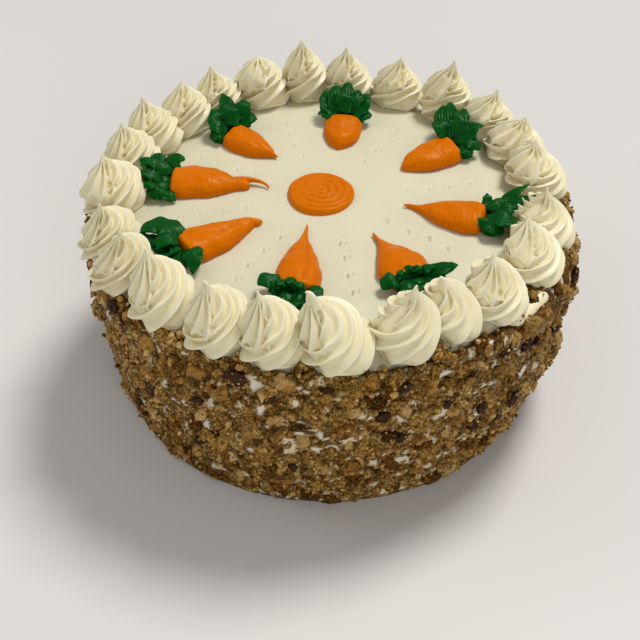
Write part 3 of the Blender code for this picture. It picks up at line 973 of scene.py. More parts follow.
# ---- carrots ------------------------------------------------------------------------
# how wide each carrot is along its length, the blunt end first
FULL = ((0.00, 0.86), (0.10, 0.97), (0.17, 1.00))
TAPER = (
    FULL + ((0.30, 0.97), (0.44, 0.88), (0.56, 0.63), (0.67, 0.36),
            (0.75, 0.28), (0.84, 0.24), (1.00, 0.20)),
    FULL + ((0.35, 0.93), (0.55, 0.78), (0.70, 0.58), (0.82, 0.41),
            (0.92, 0.28), (1.00, 0.22)),
    FULL + ((0.29, 1.00), (0.41, 0.89), (0.51, 0.75), (0.60, 0.59),
            (0.69, 0.43), (0.78, 0.26), (0.86, 0.14), (1.00, 0.05)),
    FULL + ((0.28, 1.00), (0.41, 0.87), (0.50, 0.73), (0.58, 0.58),
            (0.67, 0.40), (0.77, 0.23), (0.87, 0.12), (1.00, 0.05)),
    FULL + ((0.30, 0.95), (0.48, 0.80), (0.62, 0.61), (0.72, 0.43),
            (0.83, 0.24), (0.91, 0.13), (1.00, 0.06)),
    FULL + ((0.35, 0.97), (0.55, 0.88), (0.72, 0.72), (0.86, 0.48),
            (0.94, 0.28), (1.00, 0.08)),
    FULL + ((0.35, 0.98), (0.55, 0.92), (0.72, 0.79), (0.85, 0.58),
            (0.94, 0.35), (1.00, 0.10)),
    FULL + ((0.40, 0.93), (0.60, 0.77), (0.75, 0.57), (0.86, 0.35),
            (0.93, 0.18), (1.00, 0.06)),
)
# for each carrot: sideways bend along the length (mm at the middle and the
# point) and shift, tail (extra length, sideways curl, thickness at its two
# ends), crease position and depth
CARROT_LOOK = (
    dict(bend=(1.0, -0.4), tail=None, crease=None, stop=0.82),
    dict(bend=(-0.8, 1.4), tail=(0.9, -3.2, 1.2, 1.5), crease=(-0.2, 0.35),
         stop=0.975),
    dict(bend=(0.6, -0.6), tail=(1.5, 0.3, 0.6, 0.55), crease=(-0.40, 1.1)),
    dict(bend=(-0.6, -1.9), tail=(2.0, -0.4, 0.6, 0.55), crease=(-0.35, 0.3),
         shift=-0.3),
    dict(bend=(1.0, -1.4), tail=(2.0, 0.5, 0.6, 0.55), crease=(0.1, 0.25)),
    dict(bend=(0.6, 1.0), tail=None, crease=(-0.3, 0.2)),
    dict(bend=(0.3, 0.3), tail=None, crease=(0.25, 0.2)),
    dict(bend=(-0.8, 1.1), tail=(1.0, 0.0, 0.7, 0.55), crease=(-0.15, 0.2)),
)


def build_carrots():
    for i, (hand, look) in enumerate(zip(CARROT_HAND, CARROT_LOOK)):
        blunt, point = polar(hand[0], hand[1]), polar(hand[2], hand[3])
        wide, tall = hand[4], hand[5]
        along = point - blunt
        length = np.linalg.norm(along)
        along = along / length
        side = np.cross((0, 0, 1.0), along)
        rng = np.random.default_rng(500 + i)
        nt, ns = 104, 56
        t = np.linspace(0, 1, nt) ** 1.08
        stop = look.get("stop", 1.0)
        widths = through([(k, w, 0.0) for k, w in TAPER[i]], t * stop)[:, 0]
        a = np.linspace(0, TAU, ns, endpoint=False)
        mid, end = look["bend"]
        rows = []
        for tt, w in zip(t * stop, widths):
            if stop < 1:
                w *= math.sqrt(max(0.0, 1 - max(0.0, tt / stop * 14 - 13) ** 2))
            w = wide / 2 * max(w, 0.03)
            # rounded blunt end
            close = math.sqrt(max(0.0, 1 - (1 - min(1.0, tt / 0.055)) ** 2))
            w = w * (0.35 + 0.65 * close)
            h = tall * (0.15 + 0.85 * min(1.0, (w / (wide / 2)) ** 0.75))
            h = h * (0.55 + 0.45 * close)
            off = (mid * math.sin(math.pi * tt) + end * tt ** 3
                   + look.get("shift", 0.0))
            c = blunt + along * (tt * length) + side * off
            ca, sa = np.cos(a), np.sin(a)
            top = sa > 0
            y = w * ca * np.where(top, 1.0, 0.93)
            z = np.where(top, h * np.abs(sa) ** 0.82, -0.2 * np.abs(sa) ** 0.5)
            p = c + side * y[:, None] + np.stack(
                [np.zeros(ns), np.zeros(ns), z], 1)
            q = np.stack([y / 5.0, np.full(ns, tt * length / 9.0), z / 5.0], 1)
            lump = fbm(q, 2, 60 + i) * 0.55
            q = np.stack([y / 1.5, np.full(ns, tt * length / 14.0), z / 1.5], 1)
            lump = lump + perlin(q, 80 + i) * 0.16
            far = tt * length
            lump = lump + 0.20 * np.sin(far / 1.9 + 1.7 * i + 0.25 * y)
            lump = lump + 0.10 * np.sin(far * 2.5 + 0.5 * y) * (0.6 + lump)
            if look["crease"]:
                at, deep = look["crease"]
                at = at + 0.10 * math.sin(tt * 5 + i)
                lump = lump - deep * np.exp(
                    -((y / max(w, 0.5) - at) / 0.13) ** 2) * float(
                        smooth(0.02, 0.15, tt) * (1 - smooth(0.75, 0.98, tt)))
            nrm = np.stack([ca * 0.6, np.where(top, sa, 0.0)], 1)
            amp = np.where(top, 1.0, 0.0) * min(1.0, w / 3.0)
            p = p + side * (nrm[:, 0] * lump * amp)[:, None]
            p[:, 2] += nrm[:, 1] * lump * amp
            p[:, 2] += CAKE_HEIGHT + 0.3
            rows.append(p)
        parts = [(np.concatenate(rows), grid_faces(nt, ns, True))]
        if look["tail"]:
            extra, curl, thick, thin = look["tail"]
            moved = look.get("shift", 0.0)
            base = blunt + along * length * 0.90 + side * (
                mid * math.sin(math.pi * 0.9) + end * 0.73 + moved)
            base[2] = CAKE_HEIGHT + 0.9 + 0.35 * thick
            tipp = blunt + along * (length + extra) + side * (
                end + curl + moved)
            tipp[2] = CAKE_HEIGHT + 1.3
            far = np.linalg.norm(tipp - base)
            line = hermite(base, along * far,
                           tipp, unit(along * 0.6 + side * curl * 0.5) * far, 24)
            v = np.linspace(0, 1, 24)
            parts.append(rope(line, thick * (1 - v) + thin, 0, sections=16))
        if i == 0:
            # its point is drawn out to a thin strand that arches over
            end_at = point + np.array([0, 0, CAKE_HEIGHT])
            line = hermite(end_at + (-17.5, 2.6, 1.8), np.array([19, 9, 5.0]),
                           end_at + (0.6, -0.6, 1.0), np.array([3, -13, -4.0]),
                           34)
            v = np.linspace(0, 1, 34)
            parts.append(rope(line, 1.9 * (1 - v) ** 2 + 0.75 - 0.15 * v, 0,
                              sections=16))
        ob = new_object("icing_carrot_%02d" % (i + 1), *join(parts), ORANGE)
        fuse(ob, 0.40, 2, 6000, 0.4)
        paint_groove_shade(ob, "carrot_%02d" % (i + 1), 2.2, 0.45)


# ---- leaf tufts ---------------------------------------------------------------------
# for each tuft its leaves: start, middle and end of the blade as (out from the
# carrot, to its counter-clockwise side, height), full width, r for a round end
TUFTS = (
    (((2, -6, 3), (8, -12, 6.5), (13.5, -18, 6), 10, 0),
     ((3, -3, 4), (10, -6, 8.5), (16, -9.5, 8.5), 9, 0),
     ((3, 1, 4), (9, 2, 9), (15.5, 3.5, 8), 8, 0),
     ((3, 4, 3.5), (8, 7, 6.5), (11.5, 9.5, 5), 9, 0),
     ((1, 7, 3), (4, 11, 5), (5, 15, 2), 10, 1),
     ((3, -7, 3), (-1, -12, 7.5), (-5.5, -13, 6), 9, 1),
     ((2, 8, 2.5), (-1, 12, 3.5), (-5, 14, 1.5), 7, 0),
     ((2, -1, 5), (6, -4, 9.5), (12, -4, 9.5), 8, 0)),
    (((-1, -3, 6), (2, -12, 10), (12.5, -13.8, 8.8), 11, 1),
     ((4, -5, 5), (11, -12, 7), (16.6, -15.2, 9.5), 4.5, 0),
     ((5, -4, 5), (12, -9, 6.5), (17.0, -12.5, 8.2), 4.5, 0),
     ((6, -3, 4.5), (11, -7, 5.5), (15.0, -10.5, 6.5), 5, 0),
     ((0, -3, 6), (5, -3, 9.5), (11.5, -1, 6.5), 9, 0),
     ((1, 2.5, 4), (4, 3.2, 7.0), (8, 4.8, 6), 4, 0),
     ((-1, 5, 5), (0, 12, 6.5), (4, 18, 2), 8, 0),
     ((-1, 5, 5), (-2, 9, 7.5), (-2, 13.5, 6), 7, 1),
     ((1, 0, 4), (6, 1, 4.5), (12, 2, 4.5), 8, 0)),
    (((1, -5, 4), (-2.5, -11, 7.5), (0, -17, 6.5), 9.5, 1),
     ((1, -5, 4), (0, -6, 8), (2.5, -8, 9), 6, 0),
     ((1, -1, 4), (-1, -2, 8.5), (2, -3.5, 9.5), 6, 0),
     ((1, 2, 4), (0, 1, 8), (3.5, 2, 9), 5.5, 0),
     ((2, 4, 4), (3.2, 7.5, 6.8), (5.5, 11.5, 4.8), 9, 1),
     ((4, 2, 3.5), (9, 4, 3.6), (15, 5.2, 2), 5, 0),
     ((3, -3, 3.5), (7, -6, 4.8), (9, -11, 4.5), 8, 0),
     ((2, 0, 3), (7, 0, 4.5), (11, 1, 4), 8, 0)),
    (((1, -5, 4), (-1, -10, 6.5), (1, -15.5, 4), 8, 1),
     ((1, -4, 4), (-1, -5, 7.5), (-0.5, -6.5, 8.5), 5, 0),
     ((1, -2, 4), (-1.5, -1, 8), (-1.0, 0.5, 9.5), 5, 0),
     ((1, 1, 4), (-0.5, 2, 8), (1.5, 3.5, 9), 5, 0),
     ((1, 4, 4), (1, 6, 8), (2.5, 9.5, 8.6), 6, 0),
     ((2, 5, 5), (4, 12, 8), (7.2, 18.5, 9.8), 8, 0),
     ((3, 4, 4), (8, 8, 5.8), (12.5, 12, 6.2), 8, 0),
     ((2, -3, 3.5), (6, -6, 4.4), (8, -9, 4), 8, 0),
     ((2, 0, 3), (7, 0, 5), (10, 1, 5), 8, 0)),
    (((1, -2, 5), (8, -3, 8.8), (15, 0, 5.5), 12, 1),
     ((1, -5, 4), (6, -8, 6.4), (9.5, -10.5, 2), 9, 1),
     ((3, 1, 5), (9, 3, 9.2), (14.5, 6, 7), 8, 0),
     ((4, 4, 6), (9, 12, 9.5), (15.6, 20.8, 11.6), 5.5, 0),
     ((5, 3, 6), (13, 8, 10), (22.8, 13.8, 12), 6, 0),
     ((1, 4, 5), (-1, 8, 7.5), (-1.9, 12.0, 8.6), 5, 0),
     ((0, -3, 4), (0, -6, 6.4), (0, -9.5, 4), 7, 1),
     ((2, 2, 6), (4, 6, 9), (6, 10, 8.5), 6, 0)),
    (((1, 5, 5), (3, 14, 11), (8.5, 22, 12.8), 10, 0),
     ((2, 2, 6), (7, 13, 12.5), (11.8, 22, 13.4), 8, 0),
     ((2, 0, 6), (8, 7, 13), (15, 12.8, 13.6), 9, 0),
     ((2, -2, 5), (9, 0, 11), (16.5, -1.5, 11), 9, 0),
     ((2, -4, 4), (6, -6, 7.5), (8, -10.5, 4), 9, 1),
     ((1, 3, 5), (-1, 9, 11), (-3, 15.5, 9.5), 9, 1),
     ((1, -5, 4), (2, -8, 5.5), (3, -12, 3), 7, 0),
     ((2, 1, 7), (5, 5, 13), (9, 9, 14), 8, 0)),
    (((1, 4, 5), (5, 9, 10), (12.5, 11.5, 12), 9, 0),
     ((1, 2, 6), (7, 5, 13), (15.5, 5.8, 13.6), 9, 0),
     ((1, 0, 6), (8, 0, 13.5), (18.5, 0.2, 14), 8, 0),
     ((1, -2, 6), (7, -4, 12), (13, -6, 12.8), 8, 0),
     ((1, -4, 5), (5, -8, 10), (11.5, -11, 12.2), 9, 0),
     ((1, 5, 4), (2, 10, 6.5), (4, 12.5, 4), 8, 1),
     ((1, -5, 4), (2, -10, 6.5), (4, -13.5, 4.5), 8, 1),
     ((0, 1, 7), (3, 1, 12), (8, 2, 14), 8, 0)),
    (((1, -2, 6), (8, -6, 12), (18.5, -11.8, 13.4), 9, 0),
     ((1, -4, 6), (3, -11, 12), (7.2, -15.5, 12.8), 8, 0),
     ((2, 1, 5), (8, 2, 10), (14, -2, 10.8), 9, 0),
     ((2, 3, 5), (6, 5, 8.5), (11.5, 5.8, 8.5), 9, 0),
     ((1, 5, 4), (3, 8, 5.5), (3.8, 11.5, 2.5), 8, 1),
     ((0, -5, 5), (-2, -10, 8.5), (-4.5, -14, 6.4), 8, 1),
     ((1, 0, 7), (4, -3, 12), (10, -5, 13), 8, 0)),
)


def leaf(frame, spec, rng):
    """A piped leaf: ridges along a blade that is drawn out to a point."""
    root, out, side = frame
    first, middle, last, width, blunt = spec

    def place(q):
        return root + out * q[0] + side * q[1] + np.array((0, 0, q[2] + 0.0))

    p0, pm, p2 = place(first), place(middle), place(last)
    p1 = 2 * pm - 0.5 * (p0 + p2)
    n, m = 46, 41
    u = np.linspace(0, 1, n)
    s = np.linspace(-1, 1, m)
    c = (np.outer((1 - u) ** 2, p0) + np.outer(2 * u * (1 - u), p1)
         + np.outer(u ** 2, p2))
    d = np.gradient(c, axis=0)
    d /= np.linalg.norm(d, axis=1)[:, None]
    e = np.cross((0, 0, 1.0), d)
    e /= np.maximum(np.linalg.norm(e, axis=1)[:, None], 1e-6)
    nrm = np.cross(d, e)
    past = np.clip((u - 0.38) / 0.62, 0, 1)
    wide = np.where(u < 0.38, 0.80 + 0.20 * np.sin(u / 0.38 * math.pi / 2),
                    1 - past ** (3.4 if blunt else 1.7))
    wide = width / 2 * (1.12 if width > 6 else 1.0) * wide + 0.32
    ribs = max(3, int(round(width / 1.35)))
    k = rng.uniform(0, TAU)
    freq = rng.uniform(1.6, 2.6)
    top, low = [], []
    for i in range(n):
        fine = min(1.0, wide[i] / 2.2)
        ridge = 0.60 * np.abs(np.cos(
            s * ribs * math.pi / 2 + 0.3 * k + 0.5 * math.sin(5 * u[i] + k))) ** 0.9
        ruffle = 0.45 * np.sin(u[i] * TAU * freq + k + 1.2 * s) * s ** 2
        droop = -0.55 * s ** 2 * wide[i] * 0.36
        h = (ridge * fine + ruffle * fine + droop
             + 0.25 * np.sin(u[i] * 9 + k) * fine)
        thick = (1.5 + 3.2 * (1 - u[i]) ** 1.3) * (0.35 + 0.65 * fine) * (
            1 - 0.55 * s ** 2)
        y = s * wide[i] * (1 + 0.07 * math.sin(u[i] * TAU * freq * 1.6 + k))
        p = c[i] + e[i] * y[:, None] + nrm[i] * h[:, None]
        q = c[i] + e[i] * y[:, None] * 0.94 + nrm[i] * (
            h - np.maximum(thick, 0.75))[:, None]
        top.append(p)
        low.append(q[::-1])
    rows = np.stack([np.concatenate([a, b]) for a, b in zip(top, low)])
    rows[:, :, 2] = CAKE_HEIGHT + np.maximum(rows[:, :, 2], 0.15)
    return rows.reshape(-1, 3), grid_faces(n, 2 * m, True)


def build_tufts():
    for i, hand in enumerate(CARROT_HAND):
        rng = np.random.default_rng(700 + i)
        blunt, point = polar(hand[0], hand[1]), polar(hand[2], hand[3])
        out = unit(blunt - point)
        side = np.cross((0, 0, 1.0), out)
        blunt[2] = 0.0
        frame = (blunt, out, side)
        parts = [leaf(frame, spec, rng) for spec in TUFTS[i]]
        for v in (-4.5, 0.5, 5.0):
            at = blunt + out * 3.5 + side * v
            parts.append(ball(4.6, 4.2, (at[0], at[1], CAKE_HEIGHT + 1.2)))
        ob = new_object("leaf_tuft_%02d" % (i + 1), *join(parts), GREEN)
        fuse(ob, 0.30, 1, 9000, 0.15)
        paint_groove_shade(ob, "carrot_top_%02d" % (i + 1), 2.6, 0.5)


# ---- the coil in the middle -----------------------------------------------------------
def build_disc():
    around, rings = 150, 44
    pitch = 3.7
    rows = []
    rr = np.linspace(0, 1, rings)
    for j in range(around):
        th = TAU * j / around
        edge = DISC_RADIUS * (1 + 0.012 * math.sin(3 * th + 1)
                              + 0.008 * math.sin(5 * th)) - 0.4
        r = edge * rr
        turn = (r - pitch * (th / TAU)) / pitch
        s = turn - np.floor(turn)
        crest = 0.85 * (1 - (2 * np.abs(s - 0.5)) ** 2.4)
        crest = crest * smooth(0.0, 2.5, r) * (0.50 + 0.32 * math.cos(th + 0.8))
        edge_fall = np.sqrt(np.clip(1 - ((r - edge + 3.0) / 3.0).clip(0, 1) ** 2,
                                    0, 1))
        h = (2.9 + crest + 0.25 * np.cos(th - 2.0) * (r / edge)) * (
            0.12 + 0.88 * edge_fall)
        h = h + 0.10 * np.sin(th * 7 + r * 1.3) * smooth(2, 6, r) * edge_fall
        rows.append(np.stack([DISC_CENTRE[0] + r * math.cos(th),
                              DISC_CENTRE[1] + r * math.sin(th),
                              CAKE_HEIGHT + 0.2 + h], 1))
    verts = np.concatenate(rows)
    verts[::rings] = verts[::rings].mean(0)
    faces = []
    for j in range(around):
        k = (j + 1) % around
        for i in range(1, rings - 1):
            faces.append((j * rings + i, j * rings + i + 1,
                          k * rings + i + 1, k * rings + i))
        faces.append((0, j * rings + 1, k * rings + 1))
    base = len(verts)
    low = verts[rings - 1::rings].copy()
    low[:, 2] = CAKE_HEIGHT - 0.4
    verts = np.concatenate([verts, low])
    for j in range(around):
        k = (j + 1) % around
        faces.append((j * rings + rings - 1, base + j, base + k,
                      k * rings + rings - 1))
    faces.append(tuple(base + j for j in reversed(range(around))))
    used = sorted({i for f in faces for i in f})
    again = {old: new for new, old in enumerate(used)}
    ob = new_object("icing_coil", verts[used],
                    [tuple(again[i] for i in f) for f in faces], ORANGE)
    paint_groove_shade(ob, "centre_disc", 2.2, 0.45)


# ---- the coating -----------------------------------------------------------------------
def coat_radius(degrees, z):
    belly = smooth(0, COAT_BELLY_HEIGHT, z)
    radius = COAT_FOOT_RADIUS + (COAT_BELLY_RADIUS - COAT_FOOT_RADIUS) * belly
    side = np.maximum(0.0, np.cos(np.radians(degrees - COAT_THICK_SIDE))) ** 2
    return radius + COAT_THICK_EXTRA * side * smooth(0, 40, z)


# bare icing showing in the coat: degrees, height, half width, half height
BARE = (
    (254.6, 80.5, 3.4, 3.6), (255.3, 66.7, 2.0, 4.2), (263.4, 72.8, 2.4, 1.6),
    (264.0, 54.4, 3.4, 1.9), (267.6, 43.8, 3.6, 1.7), (271.4, 45.0, 3.2, 1.2),
    (319.1, 57.3, 2.6, 3.4), (294.9, 82.1, 4.4, 2.0), (306.0, 46.0, 3.5, 1.5),
    (311.5, 34.0, 4.5, 2.2), (241.0, 44.0, 2.0, 4.0), (233.0, 52.0, 2.2, 2.4),
    (288.0, 30.0, 3.6, 2.0), (318.0, 79.0, 1.5, 4.0), (252.0, 36.0, 2.6, 2.2),
    (229.0, 70.0, 1.6, 1.6), (300.0, 24.0, 2.5, 1.5), (279.0, 64.0, 1.6, 1.4),
    (347.0, 60.0, 2.6, 2.6), (12.0, 50.0, 3.0, 2.0), (38.0, 70.0, 2.4, 2.6),
    (66.0, 40.0, 3.4, 2.0), (95.0, 62.0, 2.6, 2.4), (128.0, 48.0, 3.0, 2.2),
    (160.0, 66.0, 2.2, 2.8), (188.0, 40.0, 3.2, 2.0), (205.0, 74.0, 1.8, 2.4),
)
# dark walnut skins and raisins: degrees, height, long, across, turn
DARK = (
    (250.1, 86.0, 8.0, 5.0, 20), (285.4, 82.0, 8.0, 4.6, 25),
    (281.8, 65.0, 6.5, 4.6, 60), (257.2, 76.1, 7.0, 4.6, 20), (250.8, 81.0, 7.5, 4.4, 35),
    (306.1, 53.1, 6.5, 4.2, 40), (310.7, 40.5, 7.5, 5.0, 25),
    (304.0, 41.5, 6.0, 4.2, 60), (315.5, 45.5, 7.0, 4.4, 50),
    (311.2, 80.5, 7.0, 3.6, 0), (318.0, 76.0, 6.5, 4.4, 80),
    (322.0, 72.5, 4.0, 3.2, 30), (330.0, 70.0, 7.0, 4.4, 70),
    (342.6, 49.3, 6.0, 4.2, 70), (342.0, 82.0, 8.0, 4.2, 85),
    (240.5, 62.0, 4.6, 3.4, 10), (214.0, 86.0, 7.5, 5.0, 20),
    (217.5, 82.0, 5.5, 4.0, 70), (226.0, 50.0, 5.0, 4.0, 40),
    (270.0, 83.0, 5.0, 3.2, 10), (286.0, 50.0, 5.2, 3.6, 30),
    (296.0, 66.0, 4.2, 3.0, 50), (262.0, 30.0, 5.0, 3.6, 15),
    (238.0, 30.0, 5.6, 4.0, 50), (20.0, 60.0, 6.0, 4.2, 30),
    (58.0, 74.0, 6.4, 4.0, 60), (100.0, 44.0, 6.0, 4.4, 20),
    (140.0, 78.0, 6.5, 4.2, 80), (172.0, 52.0, 5.8, 4.0, 10),
)
# the nut pieces that show most, bare of crumbs: degrees, height, size, how far
# it stands out (share), tone from brown to pale
SHOWN = (
    (324.2, 85.5, 7.8, 0.25, 0.25), (318.7, 87.0, 8.8, 0.20, 0.45),
    (324.8, 74.5, 9.2, 0.25, 0.35), (314.0, 84.5, 7.6, 0.20, 0.55),
    (240.7, 80.0, 9.4, 0.20, 0.35), (233.3, 70.0, 8.4, 0.18, 0.20),
    (260.4, 86.0, 9.6, 0.20, 0.72), (279.2, 85.5, 8.4, 0.20, 0.25),
    (269.4, 78.3, 8.4, 0.20, 0.42), (258.6, 62.1, 9.0, 0.20, 0.75),
    (252.7, 52.8, 9.8, 0.20, 0.35), (286.2, 69.0, 7.4, 0.20, 0.80),
    (264.4, 51.4, 6.8, 0.20, 0.75), (278.1, 55.8, 7.8, 0.15, 0.60),
    (335.0, 83.0, 8.6, 0.25, 0.50), (340.5, 62.0, 8.2, 0.22, 0.40),
    (298.0, 58.0, 8.0, 0.18, 0.66), (292.0, 78.0, 7.6, 0.18, 0.36),
    (226.0, 80.0, 8.4, 0.20, 0.50), (245.0, 36.0, 7.6, 0.18, 0.58),
)
# big walnut pieces: degrees, height, size, how far it stands out (share)
WALNUT = (
    (323.7, 80.5, 10.5, 0.22), (317.0, 84.5, 8.5, 0.15), (329.5, 74.0, 9.5, 0.25),
    (336.0, 80.0, 9.5, 0.25), (330.5, 62.0, 8.5, 0.2), (357.0, 76.0, 10.0, 0.3),
    (352.0, 84.0, 9.0, 0.25), (345.5, 66.0, 10.0, 0.28), (340.0, 72.0, 8.5, 0.2),
    (3.0, 84.0, 11.0, 0.3), (350.0, 46.0, 8.0, 0.2), (336.0, 52.0, 8.0, 0.2),
    (344.0, 34.0, 7.5, 0.25), (358.0, 58.0, 8.0, 0.25), (12.0, 72.0, 9.0, 0.2),
    (324.0, 66.0, 7.0, 0.15), (306.0, 87.0, 8.0, 0.1), (299.0, 82.0, 7.0, 0.1),
    (312.0, 68.0, 7.0, 0.1), (282.7, 61.5, 7.0, 0.12), (272.7, 58.1, 7.0, 0.1),
    (276.0, 82.0, 8.0, 0.12), (262.0, 84.0, 8.0, 0.1), (246.0, 70.0, 8.5, 0.15),
    (240.7, 54.0, 7.5, 0.1), (225.5, 62.0, 8.0, 0.15), (216.0, 68.0, 7.5, 0.1),
    (208.0, 84.0, 9.0, 0.2), (200.0, 72.0, 8.0, 0.15), (194.0, 50.0, 7.5, 0.15),
    (291.0, 43.7, 7.5, 0.12), (268.0, 34.0, 6.5, 0.1), (250.0, 46.0, 7.0, 0.1),
    (221.0, 38.0, 7.5, 0.12), (208.0, 28.0, 7.0, 0.2), (300.0, 33.0, 7.0, 0.1),
    (322.0, 26.0, 7.0, 0.12), (280.0, 22.0, 6.5, 0.1), (24.0, 84.0, 9.0, 0.2),
    (30.0, 44.0, 8.0, 0.15), (46.0, 66.0, 8.5, 0.15), (60.0, 30.0, 7.0, 0.1),
    (72.0, 80.0, 8.5, 0.15), (86.0, 54.0, 8.0, 0.15), (104.0, 76.0, 8.5, 0.15),
    (116.0, 36.0, 7.5, 0.1), (126.0, 64.0, 8.0, 0.12), (142.0, 46.0, 7.5, 0.15),
    (150.0, 82.0, 8.5, 0.15), (166.0, 34.0, 7.0, 0.12), (174.0, 74.0, 8.0, 0.12),
    (184.0, 60.0, 8.0, 0.15), (40.0, 22.0, 6.5, 0.1), (98.0, 22.0, 6.5, 0.1),
)

# the darkest crumb brown, also used as painted shade in the coat's gaps
DARK_BROWN_AND_SHADE = np.array((0.055, 0.022, 0.002))
BROWN = np.array((0.198, 0.088, 0.014))
CAKE = np.array((0.398, 0.234, 0.055))
TAN = np.array((0.575, 0.395, 0.142))
AMBER = np.array((0.350, 0.176, 0.032))
PALE = np.array((0.650, 0.480, 0.200))
ICING = np.array((0.760, 0.720, 0.590))


def shade_mix(share, colours):
    """Blend through a row of colours, share from 0 to 1."""
    share = np.clip(share, 0, 0.9999) * (len(colours) - 1)
    i = share.astype(int)
    f = (share - i)[:, None]
    table = np.array(colours)
    return table[i] * (1 - f) + table[i + 1] * f


def bare_share(degrees, z):
    """1 in the middle of a bare icing patch, 0 outside them."""
    share = np.zeros(len(z))
    wob = perlin(np.stack([degrees * 0.9, z * 0.45, np.zeros(len(z))], 1), 21)
    for d, h, w, t in BARE:
        x = ((degrees - d + 180) % 360 - 180) * math.radians(1) * 114
        e = np.hypot(x / w, (z - h) / t) + 0.5 * wob
        share = np.maximum(share, 1 - smooth(0.65, 1.1, e))
    return share


def build_core():
    """The body of the coat, with its crumbs as relief."""
    around, rows = 600, 72
    top_z = float(shoulder_height(112.0)) - 0.9
    deg = np.arange(around) * 360.0 / around
    zz = np.linspace(0.0, top_z, rows)
    D, Z = np.meshgrid(deg, zz)
    D, Z = D.ravel(), Z.ravel()
    r = coat_radius(D, Z) - 3.3
    a = np.radians(D)
    p = np.stack([r * np.cos(a), r * np.sin(a), Z], 1)
    f1, f2, who = cells(p / 6.2, 1)
    g1, g2, who2 = cells(p / 2.4, 2)
    clump = np.sqrt(np.clip(1 - (f1 / 0.80) ** 2, 0, 1)) - 0.55
    rise = ((who >> 5) & 255) / 255.0
    grain = np.sqrt(np.clip(1 - (g1 / 0.78) ** 2, 0, 1)) - 0.55
    rise2 = ((who2 >> 5) & 255) / 255.0
    slow = fbm(p / 15.0, 2, 4)
    fine = perlin(p / 1.3, 6)
    relief = (1.3 * slow + 2.0 * clump * (0.4 + rise)
              + 1.0 * grain * (0.3 + rise2) + 0.35 * fine)
    bare = bare_share(D, Z)
    relief = relief * (1 - 0.8 * bare) + 0.3 * bare + 0.4 * bare * slow
    edge = smooth(0, 2.5, Z) * (1 - smooth(top_z - 2.0, top_z, Z))
    relief = relief * (0.25 + 0.75 * edge) - 1.2 * smooth(top_z - 3.0, top_z, Z)
    reach = r + relief
    verts = np.stack([reach * np.cos(a), reach * np.sin(a), Z], 1)
    # colours: each clump and crumb its own, painted shade in the gaps and hollows, icing
    # between
    tone = 0.55 * rise + 0.45 * (((who2 >> 9) & 255) / 255.0)
    col = shade_mix(0.10 + 0.80 * tone, (DARK_BROWN_AND_SHADE, BROWN, CAKE, TAN, TAN * 1.1))
    amber = (((who >> 13) & 255) > 196)[:, None]
    col = np.where(amber, 0.45 * col + 0.55 * AMBER, col)
    # painted shade: darker between the cells and where the relief sinks
    gap_shade = smooth(0.10, 0.0, g2 - g1) * 0.45 + smooth(0.12, 0.0, f2 - f1) * 0.5
    gap_shade = np.clip(gap_shade + 0.5 * smooth(0.0, -0.5, clump + grain), 0, 0.85)[:, None]
    col = col * (1 - gap_shade) + DARK_BROWN_AND_SHADE * gap_shade
    # painted shade over the coat's upper right side
    col = col * coat_painted_shade(*verts.T)[:, None]
    low_band = 0.04 * smooth(70, 40, Z)
    smear = smooth(0.35, 0.50, fbm(p / 6.0, 3, 15) + low_band)[:, None] * 0.9
    col = col * (1 - smear) + (0.80 * ICING + 0.20 * TAN) * smear
    col = col * (1 - bare[:, None]) + ICING * bare[:, None]
    inner = [(110.6, top_z - 1.2), (CAKE_RADIUS_TOP + 0.2, top_z - 2.0),
             (CAKE_RADIUS_FOOT + 0.2, 0.0)]
    for ri, zi in inner:
        verts = np.concatenate([verts, np.stack(
            [ri * np.cos(np.radians(deg)), ri * np.sin(np.radians(deg)),
             np.full(around, zi)], 1)])
        col = np.concatenate([col, np.tile(BROWN, (around, 1))])
    n = rows + len(inner)
    i, j = np.meshgrid(np.arange(n), np.arange(around), indexing="ij")
    k = (j + 1) % around
    i2 = (i + 1) % n
    faces = np.stack([(i * around + j).ravel(), (i * around + k).ravel(),
                      (i2 * around + k).ravel(), (i2 * around + j).ravel()], 1)
    ob = new_object("coat_core", verts, faces, CRUMB, col)
    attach(ob, "root")
    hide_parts("nut_crumb_coating")
    return Outline(reach.reshape(rows, around), top_z)


class Outline:
    """How far out the coat reaches so far, over angle and height."""

    def __init__(self, reach, top):
        self.reach = reach.copy()
        self.top = top
        self.rows, self.around = reach.shape

    def cell(self, degrees, z):
        j = np.round(np.asarray(degrees) / 360.0 * self.around).astype(int)
        i = np.round(np.asarray(z) / self.top * (self.rows - 1)).astype(int)
        return np.clip(i, 1, self.rows - 2), j % self.around

    def at(self, degrees, z):
        i, j = self.cell(degrees, z)
        R, A = self.reach, self.around
        return (R[i, j] * 2 + R[i - 1, j] + R[i + 1, j] + R[i, (j + 1) % A]
                + R[i, (j - 1) % A]) / 6.0

    def cover(self, points):
        """Raise the outline to the points of a new piece."""
        r = np.hypot(points[:, 0], points[:, 1])
        d = np.degrees(np.arctan2(points[:, 1], points[:, 0])) % 360
        i, j = self.cell(d, points[:, 2])
        for di in (-1, 0, 1):
            for dj in (-1, 0, 1):
                low = 0.25 * (abs(di) + abs(dj))
                np.maximum.at(self.reach, (np.clip(i + di, 0, self.rows - 1),
                                           (j + dj) % self.around), r - low)


